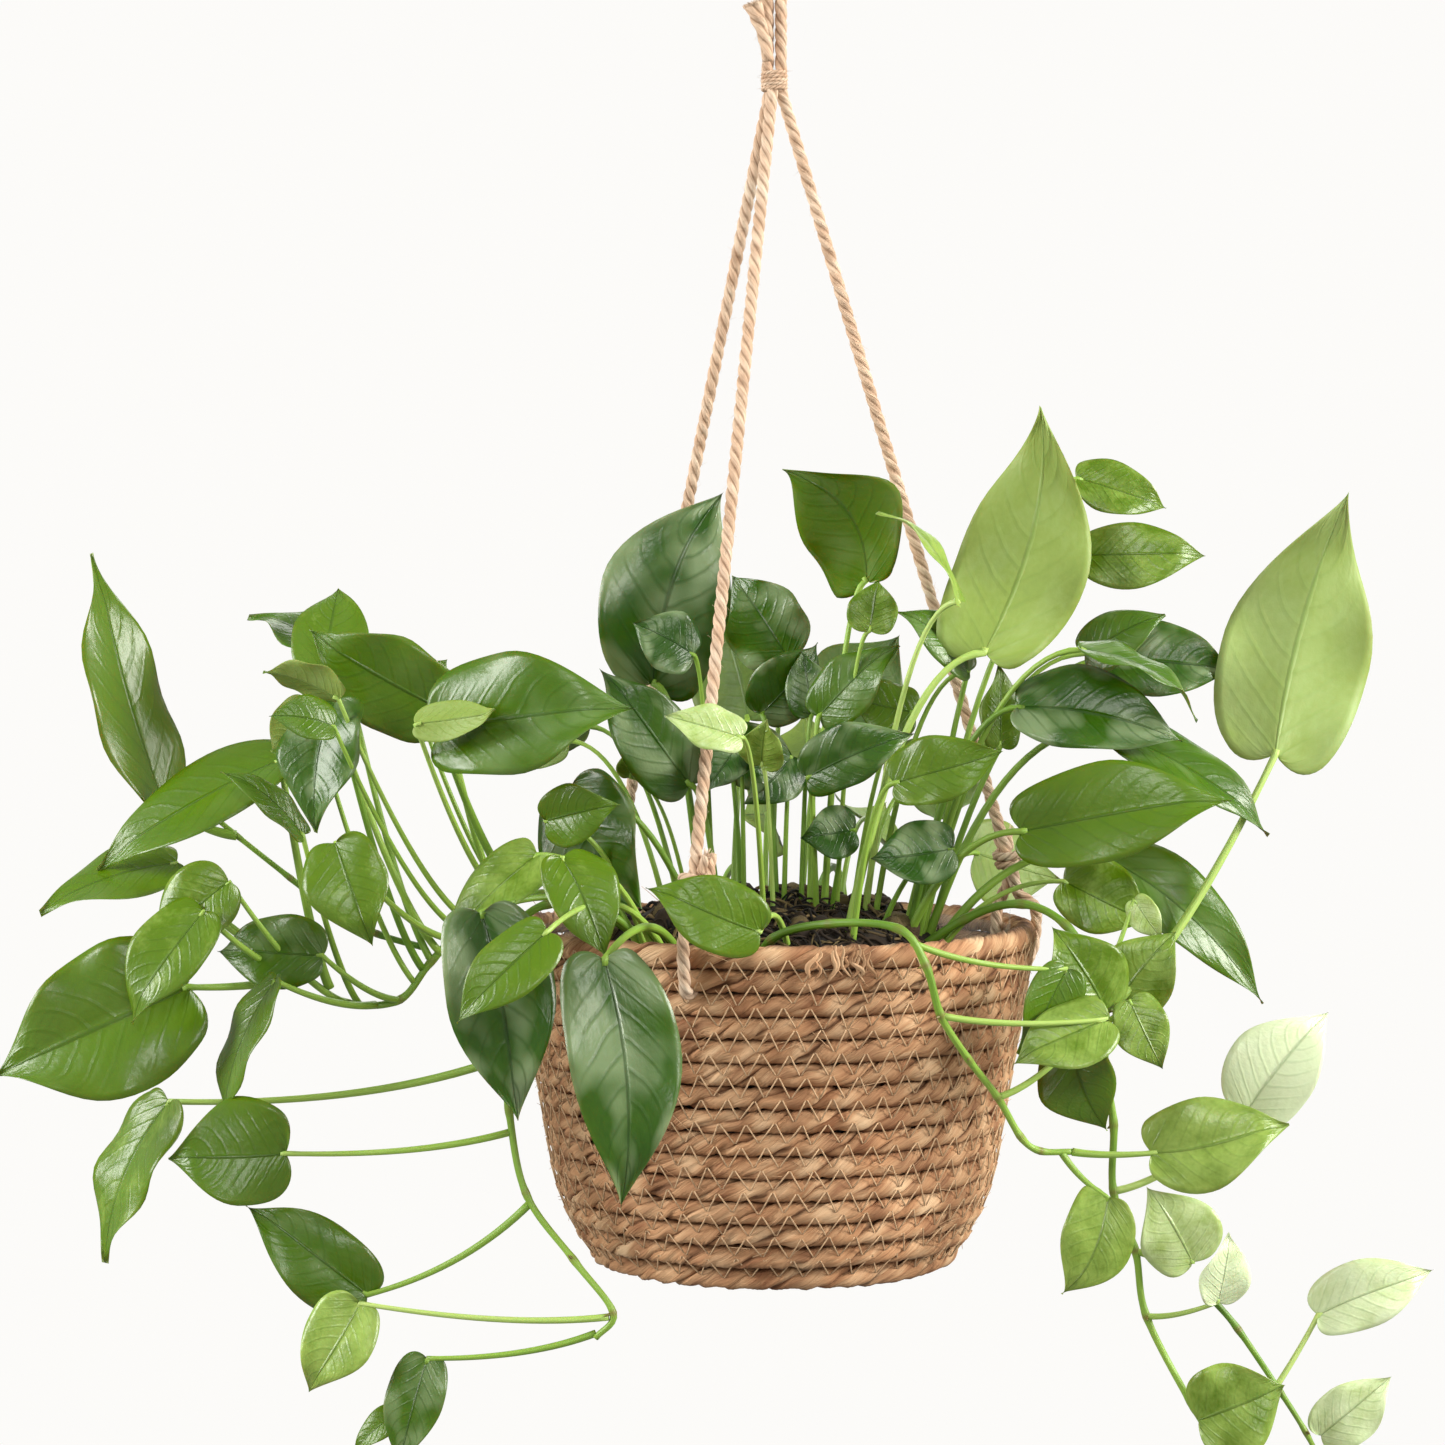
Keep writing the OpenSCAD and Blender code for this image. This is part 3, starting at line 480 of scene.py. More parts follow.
def fibre_material(name, dark, mid, light, crevice_shade_colour, fineness, relief, streaky, patchy):
    """Dry plant fibre: streaks along the grain, painted shade in the gaps and creases, colour that changes
    from ply to ply.
    """
    sh = Shader(name, Roughness=0.74, Specular_IOR_Level=0.3)
    grain = sh.vector("grain")
    streaks = sh.noise(sh.scaled(grain, (fineness, fineness, fineness * 0.035)), 1.0, 5.0)
    coarse = sh.noise(sh.scaled(grain, (fineness * 0.3, fineness * 0.3, fineness * 0.02)), 1.0, 2.0)
    patch = sh.noise(sh.scaled(grain, (110, 110, 60)), 1.0, 3.0)
    mixed = sh.plus(sh.times(streaks, streaky), sh.times(coarse, 0.3))
    mixed = sh.plus(mixed, sh.times(patch, patchy))
    middle = 0.5 * (streaky + 0.3 + patchy)
    mixed = sh.plus(mixed, sh.value("tint"))
    colour = sh.ramp(mixed, (middle - 0.2, dark), (middle, mid), (middle + 0.22, light))
    blush = sh.spread(sh.noise(sh.scaled(grain, (70, 70, 26)), 1.0, 1.0), 0.4, 0.62, 0.0, 0.5)
    colour = sh.mix(blush, colour, (1.0, 0.86, 0.76, 1.0), "MULTIPLY")
    # Painted shade: where the shade value is low, the colour goes most of the way to the dark crevice
    # colour.
    shade = sh.spread(sh.value("shade"), 0.0, 1.0)
    colour = sh.mix(shade, sh.mix(0.72, colour, crevice_shade_colour), colour)
    sh.bump(sh.plus(streaks, sh.times(coarse, 1.5)), relief)
    return sh.colour(colour)


def straw_material():
    # The fourth colour is the painted shade of the deep crevices between plies and rows.
    return fibre_material("straw_cord", rgb(148, 104, 74), rgb(190, 146, 108), rgb(224, 188, 148),
                          rgb(66, 32, 14), 1500, 0.0007, 0.28, 0.42)


def jute_material():
    # The fourth colour is the painted shade of the creases between the strands.
    return fibre_material("jute_rope", rgb(184, 150, 122), rgb(224, 194, 166), rgb(248, 230, 206),
                          rgb(124, 88, 60), 3200, 0.0006, 0.42, 0.25)


def thread_material(name, colour):
    sh = Shader(name, Roughness=0.7)
    along = sh.noise(sh.scaled(sh.vector("grain"), (900, 900, 500)), 1.0, 2.0)
    sh.bump(along, 0.0002)
    return sh.colour(sh.mix(sh.spread(along, 0.3, 0.7), colour, tuple(0.6 * c for c in colour[:3]) + (1,)))


def film_material():
    sh = Shader("clear_film", Roughness=0.12, Alpha=0.10)
    folds = sh.noise(sh.place(), 60.0, 3.0)
    sh.bump(folds, 0.002)
    return sh.colour(sh.mix(folds, rgb(225, 230, 228), rgb(250, 252, 250)))


def pot_material():
    sh = Shader("pot_plastic")
    place = sh.place()
    dust = sh.spread(sh.noise(place, 45.0, 6.0), 0.45, 0.75)
    sh.bump(sh.noise(place, 900.0, 2.0), 0.0002)
    sh.set(sh.surface, "Roughness", sh.spread(dust, 0, 1, 0.36, 0.7))
    return sh.colour(sh.mix(dust, rgb(20, 19, 18), rgb(46, 40, 33)))


def soil_material():
    sh = Shader("potting_soil", Roughness=0.95)
    grains = sh.noise(sh.place(), 420.0, 6.0)
    sh.bump(grains, 0.004)
    return sh.colour(sh.ramp(grains, (0.35, rgb(24, 17, 11)), (0.55, rgb(58, 42, 28)),
                             (0.72, rgb(112, 88, 62))))


def moss_material():
    sh = Shader("moss", Roughness=0.9)
    streaks = sh.noise(sh.scaled(sh.vector("grain"), (1500, 1500, 120)), 1.0, 3.0)
    tone = sh.plus(sh.times(streaks, 0.4), sh.value("tint"))
    sh.bump(streaks, 0.0004)
    return sh.colour(sh.ramp(tone, (0.2, rgb(18, 12, 6)), (0.5, rgb(52, 38, 20)),
                             (0.75, rgb(100, 86, 54)), (0.95, rgb(158, 132, 90))))


def stem_material():
    """Fresh stem: olive where it is old, light yellow-green where it is young, browner at a node."""
    sh = Shader("stem_green", Roughness=0.42, Subsurface_Weight=0.08, Subsurface_Scale=0.002)
    streaks = sh.noise(sh.scaled(sh.vector("grain"), (1800, 1800, 60)), 1.0, 3.0)
    tone = sh.plus(sh.value("tint"), sh.times(streaks, 0.2))
    colour = sh.ramp(tone, (0.1, rgb(54, 88, 16)), (0.4, rgb(98, 138, 38)), (0.75, rgb(146, 182, 72)),
                     (1.0, rgb(188, 212, 122)))
    colour = sh.mix(sh.value("scar"), colour, rgb(120, 100, 56))
    sh.bump(streaks, 0.0003)
    return sh.colour(colour)


def leaf_material():
    """Waxy leaf: veins from the midrib, faint flecks, patches of painted sheen on the upper side, a paler
    matt underside.
    """
    sh = Shader("leaf_green", Specular_IOR_Level=0.5, Subsurface_Weight=0.06, Subsurface_Scale=0.003)
    place = sh.node("SeparateXYZ", {0: sh.vector("leaf")})
    along, across, seed = place.outputs[0], place.outputs[1], place.outputs[2]
    away = sh.maths("ABSOLUTE", across)
    # Side veins leave the midrib and sweep forward to the edge.
    sweep = sh.maths("SUBTRACT", along, sh.times(sh.maths("POWER", away, 1.35), 0.3))
    warp = sh.node("CombineXYZ", {0: sh.times(along, 3.0), 1: across, 2: seed}).outputs[0]
    cloud = sh.noise(warp, 1.5, 3.0)
    fine = sh.noise(warp, 9.0, 3.0)
    uneven = sh.times(cloud, 0.5)
    phase = sh.plus(sh.times(sweep, 8.0), sh.times(sh.maths("SIGN", across), 0.23))
    vein = sh.spread(sh.maths("PINGPONG", sh.plus(phase, uneven), 0.5), 0.0, 0.16, 1.0, 0.0)
    vein = sh.times(vein, sh.spread(away, 0.5, 0.95, 1.0, 0.0))
    midrib = sh.spread(away, 0.012, 0.045, 1.0, 0.0)
    tone = sh.plus(sh.value("tone"), sh.spread(cloud, 0.3, 0.7, -0.05, 0.05))
    tone = sh.plus(tone, sh.spread(fine, 0.3, 0.7, -0.02, 0.02))
    top = sh.ramp(tone, (0.08, rgb(42, 80, 2)), (0.3, rgb(68, 104, 2)), (0.54, rgb(84, 116, 2)),
                  (0.7, rgb(150, 178, 84)), (0.95, rgb(230, 244, 198)))
    under = sh.ramp(tone, (0.08, rgb(64, 92, 38)), (0.3, rgb(98, 124, 52)), (0.5, rgb(130, 154, 66)),
                    (0.68, rgb(154, 178, 106)), (1.0, rgb(214, 228, 176)))
    top = sh.mix(sh.times(midrib, 0.5), top, (0.45, 0.55, 0.35, 1.0), "MULTIPLY")
    top = sh.mix(sh.times(vein, 0.22), top, (0.55, 0.68, 0.5, 1.0), "MULTIPLY")
    # A soft silvery painted sheen in patches: a painted reflection, strongest on the dark old leaves and
    # broken by the veins.
    painted_sheen = sh.spread(sh.noise(warp, 1.1, 1.5), 0.46, 0.66, 0.0, 0.5)
    painted_sheen = sh.times(painted_sheen, sh.spread(sh.value("tone"), 0.15, 0.42, 1.0, 0.08))
    painted_sheen = sh.times(painted_sheen, sh.spread(sh.maths("MAXIMUM", vein, midrib), 0.0, 1.0, 1.0, 0.45))
    top = sh.mix(painted_sheen, top, rgb(158, 178, 134))
    lines_below = sh.maths("MAXIMUM", sh.times(vein, 0.3), midrib)
    under = sh.mix(sh.times(lines_below, 0.5), under, (0.62, 0.74, 0.5, 1.0), "MULTIPLY")
    colour = sh.mix(sh.value("upper"), under, top)
    sh.set(sh.surface, "Roughness", sh.spread(sh.value("upper"), 0, 1, 0.55, 0.31))
    furrows = sh.maths("MAXIMUM", sh.times(vein, 0.35), midrib)
    sh.bump(sh.plus(sh.times(furrows, -1.0), sh.times(fine, 0.5)), 0.0004)
    return sh.colour(colour)


# ---- camera, light and stage ----

def add_camera():
    camera = bpy.data.objects.new("camera", bpy.data.cameras.new("camera"))
    bpy.context.scene.collection.objects.link(camera)
    eye = Vector((CAMERA_X, -CAMERA_BACK, RIM_Z + EYE_RISE)) / 1000
    aim = Vector((CAMERA_X, 0.0, RIM_Z + AIM_RISE)) / 1000
    camera.location = eye
    camera.rotation_euler = (aim - eye).to_track_quat("-Z", "Y").to_euler()
    camera.data.lens = CAMERA_LENS
    camera.data.sensor_width = 36.0
    bpy.context.scene.camera = camera


def add_light(name, place, size, watts, tint):
    light = bpy.data.objects.new(name, bpy.data.lights.new(name, "AREA"))
    light.data.size = size
    light.data.energy = watts
    light.data.color = tint
    light.location = place
    aim = Vector((0, 0, RIM_Z / 1000))
    light.rotation_euler = (aim - light.location).to_track_quat("-Z", "Y").to_euler()
    bpy.context.scene.collection.objects.link(light)


def add_studio():
    """A wide soft light on each side, weak ones before and behind, and a pale floor all round."""
    scene = bpy.context.scene
    scene.view_settings.view_transform = "Standard"
    world = bpy.data.worlds.new("studio")
    world.use_nodes = True
    sky = world.node_tree.nodes["Background"].inputs
    sky["Color"].default_value = (1.0, 0.99, 0.95, 1)
    sky["Strength"].default_value = 0.40
    scene.world = world
    add_light("key", (2.4, -0.7, 0.55), 1.2, 108, (1.0, 0.97, 0.92))
    add_light("left", (-2.4, -0.6, 0.45), 1.3, 84, (1.0, 0.985, 0.96))
    add_light("front", (0.15, -2.4, 0.65), 0.6, 16, (1.0, 0.98, 0.95))
    add_light("back", (0.4, 2.4, 1.2), 1.6, 26, (1.0, 0.99, 0.97))

    # The floor lies well below the plant. Its edge sweeps up into a round wall: radius of each ring
    # and its height above the floor, in metres.
    floor = 2 * RIM_Z / 1000 - 0.42
    profile = [(4.5, 0.0), (5.6, 0.25), (6.3, 1.0), (6.6, 2.2), (6.7, 9.0)]
    turns = 64
    rings = [on_circle(r, round_turn(turns), floor + rise) for r, rise in profile]
    faces = grid_faces(len(profile), turns)
    faces.append(list(range(turns - 1, -1, -1)))
    sh = Shader("backdrop", Base_Color=(0, 0, 0, 1), Roughness=1.0, Specular_IOR_Level=0.0,
                Emission_Color=(0.975, 0.965, 0.945, 1), Emission_Strength=1.0)
    mesh = bpy.data.meshes.new("backdrop")
    mesh.from_pydata(np.concatenate(rings).tolist(), [], faces)
    mesh.materials.append(sh.material)
    stage = bpy.data.objects.new("backdrop", mesh)
    bpy.context.scene.collection.objects.link(stage)
    stage.visible_diffuse = False
    stage.visible_glossy = False
    stage.visible_transmission = False
    stage.visible_shadow = False


# ---- ropes ----

def strand_outline(sides, strands=3, bulge=0.64):
    """Section of a twisted rope: the outer edge of equal strands side by side, 1 at the crests, and a
    painted shade value that is low in the creases between strands.
    """
    at = round_turn(sides)
    step = 2 * math.pi / strands
    off = (at + step / 2) % step - step / 2
    centre = 1 - bulge
    edge = centre * np.cos(off) + np.sqrt(bulge ** 2 - (centre * np.sin(off)) ** 2)
    return edge, smooth_step(edge, 0.74, 0.92)


def add_rope(soup, path, radius, lay=ROPE_LAY, seed=1, thickness=None):
    """Three-strand laid rope along a path, with slightly uneven thickness."""
    rng = np.random.default_rng(seed)
    sides = 24
    outline, shade = strand_outline(sides)
    s = lengths(path)
    uneven = 1 + 0.035 * wander(len(path), max(4, len(path) // 9), rng)
    thickness = np.ones(len(path)) if thickness is None else thickness
    turn = -2 * math.pi * s / lay + 0.25 * wander(len(path), max(3, len(path) // 20), rng)
    tint = 0.06 * wander(len(path), max(4, len(path) // 6), rng)
    add_tube(soup, path, radius * np.clip(uneven, 0.93, 1.0) * thickness, sides, turn, outline,
             shade=shade[None], tint=tint[:, None])


def add_fuzz(soup, path, radius, count, seed, reach=3.2):
    """Loose jute fibres that stand off a rope."""
    rng = np.random.default_rng(seed)
    a, b = carried_frames(path)
    heading = unit(np.gradient(path, axis=0))
    for i in rng.integers(1, len(path) - 1, count):
        angle = rng.uniform(0, 2 * math.pi)
        out = a[i] * math.cos(angle) + b[i] * math.sin(angle)
        round_about = np.cross(heading[i], out)
        lean = heading[i] * rng.choice((-1, 1)) * rng.uniform(0.6, 1.6) + round_about * rng.normal() * 0.6
        length = reach * rng.uniform(0.4, 1.2)
        t = np.linspace(0, 1, 5)[:, None]
        lift = rng.uniform(0.25, 0.75)
        start = path[i] + out * radius * 0.8
        hair = start + unit(lean) * length * t + out * length * lift * t ** 1.6
        thick = 0.075 * (1 - 0.6 * t[:, 0])
        add_tube(soup, hair, thick, 3, shade=1.0, tint=rng.uniform(0.0, 0.2))


def leg_radius(z):
    slope = (LEG_TOP[0] - LEG_FOOT[0]) / (LEG_TOP[1] - LEG_FOOT[1])
    return LEG_FOOT[0] + slope * (z - LEG_FOOT[1])


def leg_route(angle):
    """From inside the neck down to the rim, over it, in through the wall and back up."""
    out = RIM_R + ROPE_R + 0.3
    inner = RIM_R - 2 * STRAW_R - ROPE_R - 2
    down = [on_rim(angle, 0, leg_radius(z), z) for z in np.linspace(NECK_FOOT + 5, LEG_FOOT[1] + 6, 12)]
    return down + [
        on_rim(angle, 0, 119.7, 11),
        on_rim(angle, 0, out - 1, 5),
        on_rim(angle, 0, out, -4),
        on_rim(angle, 0, out - 2, -17),
        on_rim(angle, 0, out - 6, HOLE_Z),
        on_rim(angle, 0, inner + 2, HOLE_Z),
        on_rim(angle, 0, inner, -17),
        on_rim(angle, 1, inner, -3),
        on_rim(angle, 4, inner + 1.5, 5),
        on_rim(angle, 7.2, leg_radius(20), 20),
        on_rim(angle, 6.8, leg_radius(RETURN_TOP), RETURN_TOP)]


def make_leg(side, angle, jute, seed):
    path = smooth_path(leg_route(angle), 1.6)
    rope = Soup()
    add_rope(rope, path, ROPE_R, seed=seed)
    piece = rope.build("jute_rope_" + side, None, jute, "jute_rope")
    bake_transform(piece)
    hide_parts("rope_leg_" + side, "rim_loop_" + side)

    fuzz = Soup()
    lowest = len(path) - 8
    add_fuzz(fuzz, path[24:lowest], ROPE_R, 300, seed + 20)
    hairs = fuzz.build("rope_fuzz_" + side, "basket", jute, "jute_rope")


def make_knot(side, angle, jute, seed):
    """Two tight turns round the leg, and the cut end that stands off them."""
    low = np.array(on_rim(angle, 0, leg_radius(25), 25))
    along = unit(np.array(on_rim(angle, 0, *LEG_TOP)) - low)
    tangent = np.array(on_rim(angle, 1, 0, 0))
    outward = unit(np.cross(tangent, along))
    turns, steps, knot_r, coil_r = 2.1, 44, 2.2, 5.2
    points = []
    for t in np.linspace(0, 1, steps):
        a = 2 * math.pi * turns * t
        rise = 4.4 * turns * t - 2.0
        points.append(low + along * rise + coil_r * (tangent * math.cos(a) + outward * math.sin(a)))
    end = points[-1]
    for reach in (2.5, 5.0, 7.5):
        points.append(end + along * reach * 0.9 + tangent * reach * 0.35 + outward * 0.25 * reach)
    path = smooth_path(points, 1.2)
    rope = Soup()
    add_rope(rope, path, knot_r, lay=14, seed=seed)
    add_fuzz(rope, path, knot_r, 90, seed + 1, 3.0)
    add_frayed_end(rope, path[-1], unit(path[-1] - path[-4]), knot_r, 26, 5.0, seed + 2)
    rope.build("rope_knot_" + side, "basket", jute, "jute_rope", "rim_knot_" + side)


def add_frayed_end(soup, tip, heading, radius, count, reach, seed):
    """Fibres that open out from a cut end."""
    rng = np.random.default_rng(seed)
    side = unit(np.cross(heading, (0.3, 0.8, 0.52)))
    other = np.cross(heading, side)
    for _ in range(count):
        angle, off = rng.uniform(0, 2 * math.pi), radius * math.sqrt(rng.uniform(0, 1))
        out = side * math.cos(angle) + other * math.sin(angle)
        start = tip + out * off - heading * 1.2
        length = reach * rng.uniform(0.4, 1.0)
        t = np.linspace(0, 1, 4)[:, None]
        fibre = start + heading * length * t + out * length * 0.35 * t ** 2 * off / radius
        add_tube(soup, fibre, 0.16 * (1 - 0.5 * t[:, 0]), 3, shade=1.0, tint=rng.uniform(-0.05, 0.2))


def make_hanging_loop(jute):
    """The loop over the hook, the cut ends beside it and the binding round the neck."""
    hook = HOOK_Z - BIGHT_R + ROPE_R
    over = np.radians((0, 20, 40, 60, 75, 90))
    half = [[BIGHT_R * math.sin(a), 0, hook + BIGHT_R * math.cos(a)] for a in over]
    half += [[8.6, 0, HOOK_Z - 14], [6.6, 0, HOOK_Z - 24], [4.4, 0, HOOK_Z - 32], [3.2, 0, HOOK_Z - 39]]
    half += [[3.1, 0, z] for z in np.linspace(HOOK_Z - 50, NECK_TOP - 2, 4)]
    left = [[-x, y, z] for x, y, z in half[:0:-1]]
    path = smooth_path(left + half, 1.5)
    rope = Soup()
    add_rope(rope, path, ROPE_R, seed=4)
    piece = rope.build("jute_rope_loop", None, jute, "jute_rope")
    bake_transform(piece)
    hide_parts("loop_bight", "loop_leg_left", "loop_leg_right")
    fuzz = Soup()
    add_fuzz(fuzz, path[:50], ROPE_R, 70, 31)
    add_fuzz(fuzz, path[-50:], ROPE_R, 70, 32)
    hairs = fuzz.build("rope_fuzz_loop", "hanging_loop", jute, "jute_rope")

    tail_points = [(-2.9, -6.8, 3.2), (-3.2, -6.9, 6), (-3.8, -6.9, 9), (-5.8, -7.2, 17), (-10.3, -7.6, 30)]
    tail_path = smooth_path([[x, y, NECK_TOP + rise] for x, y, rise in tail_points], 1.4)
    opening = 1 + 0.75 * smooth_step(lengths(tail_path), 12, 34)
    tail = Soup()
    add_rope(tail, tail_path, ROPE_R, lay=26, seed=5, thickness=opening)
    add_fuzz(tail, tail_path, ROPE_R, 90, 33)
    add_frayed_end(tail, tail_path[-1], unit(tail_path[-1] - tail_path[-5]), ROPE_R * 1.65, 220, 2.2, 34)
    tail.build("rope_tail", "hanging_loop", jute, "jute_rope", "rope_cut_tail")

    turns, twine_r, coil_r = 5, 1.12, 5.3
    t = np.linspace(0, 1, 170)
    angle = 2 * math.pi * turns * t + 0.6
    tuck = 1 - 0.35 * (smooth_step(t, 0.03, 0.0) + smooth_step(t, 0.97, 1.0))
    rise = NECK_FOOT + twine_r + (NECK_TOP - NECK_FOOT - 2 * twine_r) * t
    coil = on_circle(coil_r * tuck, angle, rise)
    binding = Soup()
    add_rope(binding, coil, twine_r, lay=7, seed=6)
    add_fuzz(binding, coil, twine_r, 120, 35, 2.4)
    # The core between the turns of twine is darkened with painted shade.
    core = on_circle(0, 0, np.linspace(NECK_FOOT + 0.5, NECK_TOP - 0.5, 12))
    add_tube(binding, core, 4.4, 16, shade=0.3, tint=0.0)
    binding.build("neck_twine", "neck", jute, "twine", "neck_binding")


# ---- basket ----

def row_z(k):
    return -STRAW_R - k * ROW_PITCH


def row_r(k):
    z = row_z(k)
    bend = BEND_IN * (max(0.0, -z - BEND_FROM) / 50) ** 2.2
    return RIM_R + WALL_TAPER * z - bend - STRAW_R


def add_straw_ring(soup, radius, height, rng):
    """One turn of two-ply straw cord as a closed ring about the basket's axis."""
    round_length = 2 * math.pi * radius
    twists = max(1, round(round_length / PLY_PITCH))
    count = max(30, int(round_length / 2.2))
    sides = 18
    theta, alpha = round_turn(count), round_turn(sides)
    begin = rng.uniform(0, 2 * math.pi)
    plies = max(4, round(round_length / 16))
    loose = 0.42 * wander(count, max(2, twists), rng)
    bob = (0.45 * wander(count, 2 * plies, rng))[:, None]
    for strand in (0, 1):
        phi = twists * theta + begin + math.pi * strand + loose + 0.12 * wander(count, 2 * twists, rng)
        phi = phi[:, None]
        size = (1 + 0.085 * wander(count, plies, rng))[:, None]
        husks = []
        for lobes, depth in ((2, 0.05), (3, 0.07), (5, 0.045), (8, 0.025)):
            drift = (1.5 * wander(count, plies, rng) + lobes * rng.uniform(0, 6))[:, None]
            strength = (1 + 0.7 * wander(count, plies, rng))[:, None]
            husks.append(depth * strength * np.sin(lobes * alpha + drift))
        ridge = 1 + sum(husks)
        u = PLY_OFF + PLY_THICK * np.cos(alpha) * ridge * size
        w = PLY_WIDE * np.sin(alpha) * ridge * size
        limit = np.minimum(1, 5.75 / np.hypot(u, w))
        u, w = u * limit, w * limit
        out = radius + u * np.cos(phi) - w * np.sin(phi)
        up = height + bob + u * np.sin(phi) + w * np.cos(phi)
        verts = on_circle(out, theta[:, None], up)
        along = np.broadcast_to((theta * radius)[:, None], out.shape)
        grain = np.stack([u, w, along + 500 * strand], axis=-1).reshape(-1, 3) / 1000
        # Painted shade: darker deep between the two plies and near the row's top and bottom, where one row
        # presses on the next.
        shade = smooth_step(np.hypot(u, w), 3.9, 4.75) * smooth_step(5.4 - np.abs(up - height), 0.0, 0.6)
        tint = np.broadcast_to((0.10 * wander(count, plies, rng))[:, None], out.shape)
        soup.add(verts, grid_faces(count, sides, wrap_rows=True), grain=grain,
                 shade=shade.reshape(-1), tint=tint.reshape(-1))


def add_straw_end(soup, angle, rng):
    """The cord's own end: split husks bound down over the first rows."""
    for i in range(16):
        across = rng.uniform(-13, 13)
        top, low = rng.uniform(-6, 1), rng.uniform(-17, -10)
        lean = rng.uniform(-6, 6)
        t = np.linspace(0, 1, 9)
        z = top + (low - top) * t
        out = RIM_R + WALL_TAPER * z + 0.6 + 1.2 * np.sin(math.pi * t) * rng.uniform(0.2, 1.0)
        side = across + lean * t + 1.5 * np.sin(2 * math.pi * t + rng.uniform(0, 6))
        strip = np.array([on_rim(angle, s, o, h) for s, o, h in zip(side, out, z)])
        thick = rng.uniform(0.5, 1.3) * (0.4 + 0.6 * np.sin(math.pi * t))
        add_tube(soup, strip, thick, 6, shade=1.0, tint=rng.uniform(-0.02, 0.2))


def add_loose_straws(soup, rng):
    """Fine fibres that have come free of the cord."""
    for _ in range(260):
        angle, z = rng.uniform(0, 360), rng.uniform(-150, -1)
        length, slope = rng.uniform(5, 15), rng.normal() * 0.5
        t = np.linspace(0, 1, 6)
        lift = rng.uniform(0.4, 2.6)
        height = z + length * slope * t
        bend = BEND_IN * (np.maximum(0.0, -height - BEND_FROM) / 50) ** 2.2
        out = RIM_R + WALL_TAPER * height - bend - 0.6 + lift * t ** 1.7
        hair = np.array([on_rim(angle, s, o, h) for s, o, h in zip(length * t, out, height)])
        add_tube(soup, hair, 0.22 * (1 - 0.6 * t), 4, shade=1.0, tint=rng.uniform(0.0, 0.25))


def make_basket(straw, thread):
    rng = np.random.default_rng(11)
    middle = WALL_ROWS // 2
    base_edge = row_r(WALL_ROWS - 1) - ROW_PITCH
    base_rings = int(row_r(WALL_ROWS - 1) / ROW_PITCH) - 1
    groups = {
        "rim_coil": [(row_r(0), row_z(0))],
        "wall_coils_upper": [(row_r(k), row_z(k)) for k in range(1, middle + 1)],
        "wall_coils_lower": [(row_r(k), row_z(k)) for k in range(middle + 1, WALL_ROWS)],
        "base_coils": [(base_edge - j * ROW_PITCH, row_z(WALL_ROWS - 1)) for j in range(base_rings + 1)]}
    for node, rings in groups.items():
        soup = Soup()
        for radius, height in rings:
            add_straw_ring(soup, radius, height, rng)
        if node == "base_coils":
            low = row_z(WALL_ROWS - 1)
            # The button at the middle of the base is darkened with painted shade.
            middle_button = np.array([[0, 0, low - 3.0], [0, 0, low + 3.0]])
            add_tube(soup, resample(middle_button, 1.0), 3.4, 12, shade=0.2, tint=-0.05)
        if node == "rim_coil":
            add_straw_end(soup, CORD_END_ANGLE, rng)
        if node == "wall_coils_lower":
            add_loose_straws(soup, rng)
        soup.build("straw_" + node, "basket", straw, "straw_cord", node)

    stitches = Soup()
    for k in range(WALL_ROWS - 1):
        add_zigzag(stitches, k, rng)
    stitches.build("zigzag_stitches", "basket", thread, "sewing_thread", "seam_thread")


def add_zigzag(soup, k, rng):
    """Thread that goes up and down over the groove between rows k and k + 1, all the way round."""
    half_stitch = 5.6
    count = 2 * round(math.pi * row_r(k + 1) / half_stitch)
    begin = rng.uniform(0, 1)
    points = []
    for i in range(count):
        a = 2 * math.pi * (i + begin + rng.uniform(-0.12, 0.12)) / count
        upper = i % 2 == 0
        z = (row_z(k) - 0.9 if upper else row_z(k + 1) + 0.9) + rng.uniform(-0.7, 0.7)
        r = row_r(k if upper else k + 1) + 5.6
        tuck = r - 1.8
        for turn, reach in ((-0.004, r), (0.0, tuck), (0.004, r)):
            points.append([reach * math.cos(a + turn), reach * math.sin(a + turn), z])
    add_tube(soup, np.array(points), 0.36, 5, tint=0.0)


def make_liner(film):
    """Thin film inside the basket; its free edge is uneven and stands a little above the rim."""
    turns = 160
    at = round_turn(turns)
    rng = np.random.default_rng(21)
    crinkle = wander(turns, 26, rng)
    edge = wander(turns, 9, rng)
    floor_z = row_z(WALL_ROWS - 1) + STRAW_R + 0.6
    rings = [(14.0, floor_z), (45.0, floor_z), (row_r(WALL_ROWS - 2) - STRAW_R - 7.0, floor_z)]
    rings += [(row_r(k) - STRAW_R - 1.2, row_z(k)) for k in range(WALL_ROWS - 2, -1, -1)]
    verts = []
    for i, (r, z) in enumerate(rings):
        height = i / (len(rings) - 1)
        verts.append(on_circle(r - 0.9 - 0.9 * height * crinkle, at, z))
    lip_r = row_r(0) - STRAW_R - 2.4 - 0.9 * crinkle
    near_rope = np.exp(-((at - 2 * math.pi + 0.03) / 0.1) ** 2)
    lip_z = row_z(0) + 2.2 + 1.2 * edge + 8.0 * near_rope
    verts.append(on_circle(lip_r, at, lip_z))
    soup = Soup()
    soup.add(np.concatenate(verts), grid_faces(len(verts), turns))
    piece = soup.build("liner_film", "basket", film, "clear_film", "plastic_liner")
    solid = piece.modifiers.new("thickness", "SOLIDIFY")
    solid.thickness = 0.00025
    solid.offset = 0.0


# ---- plant ----

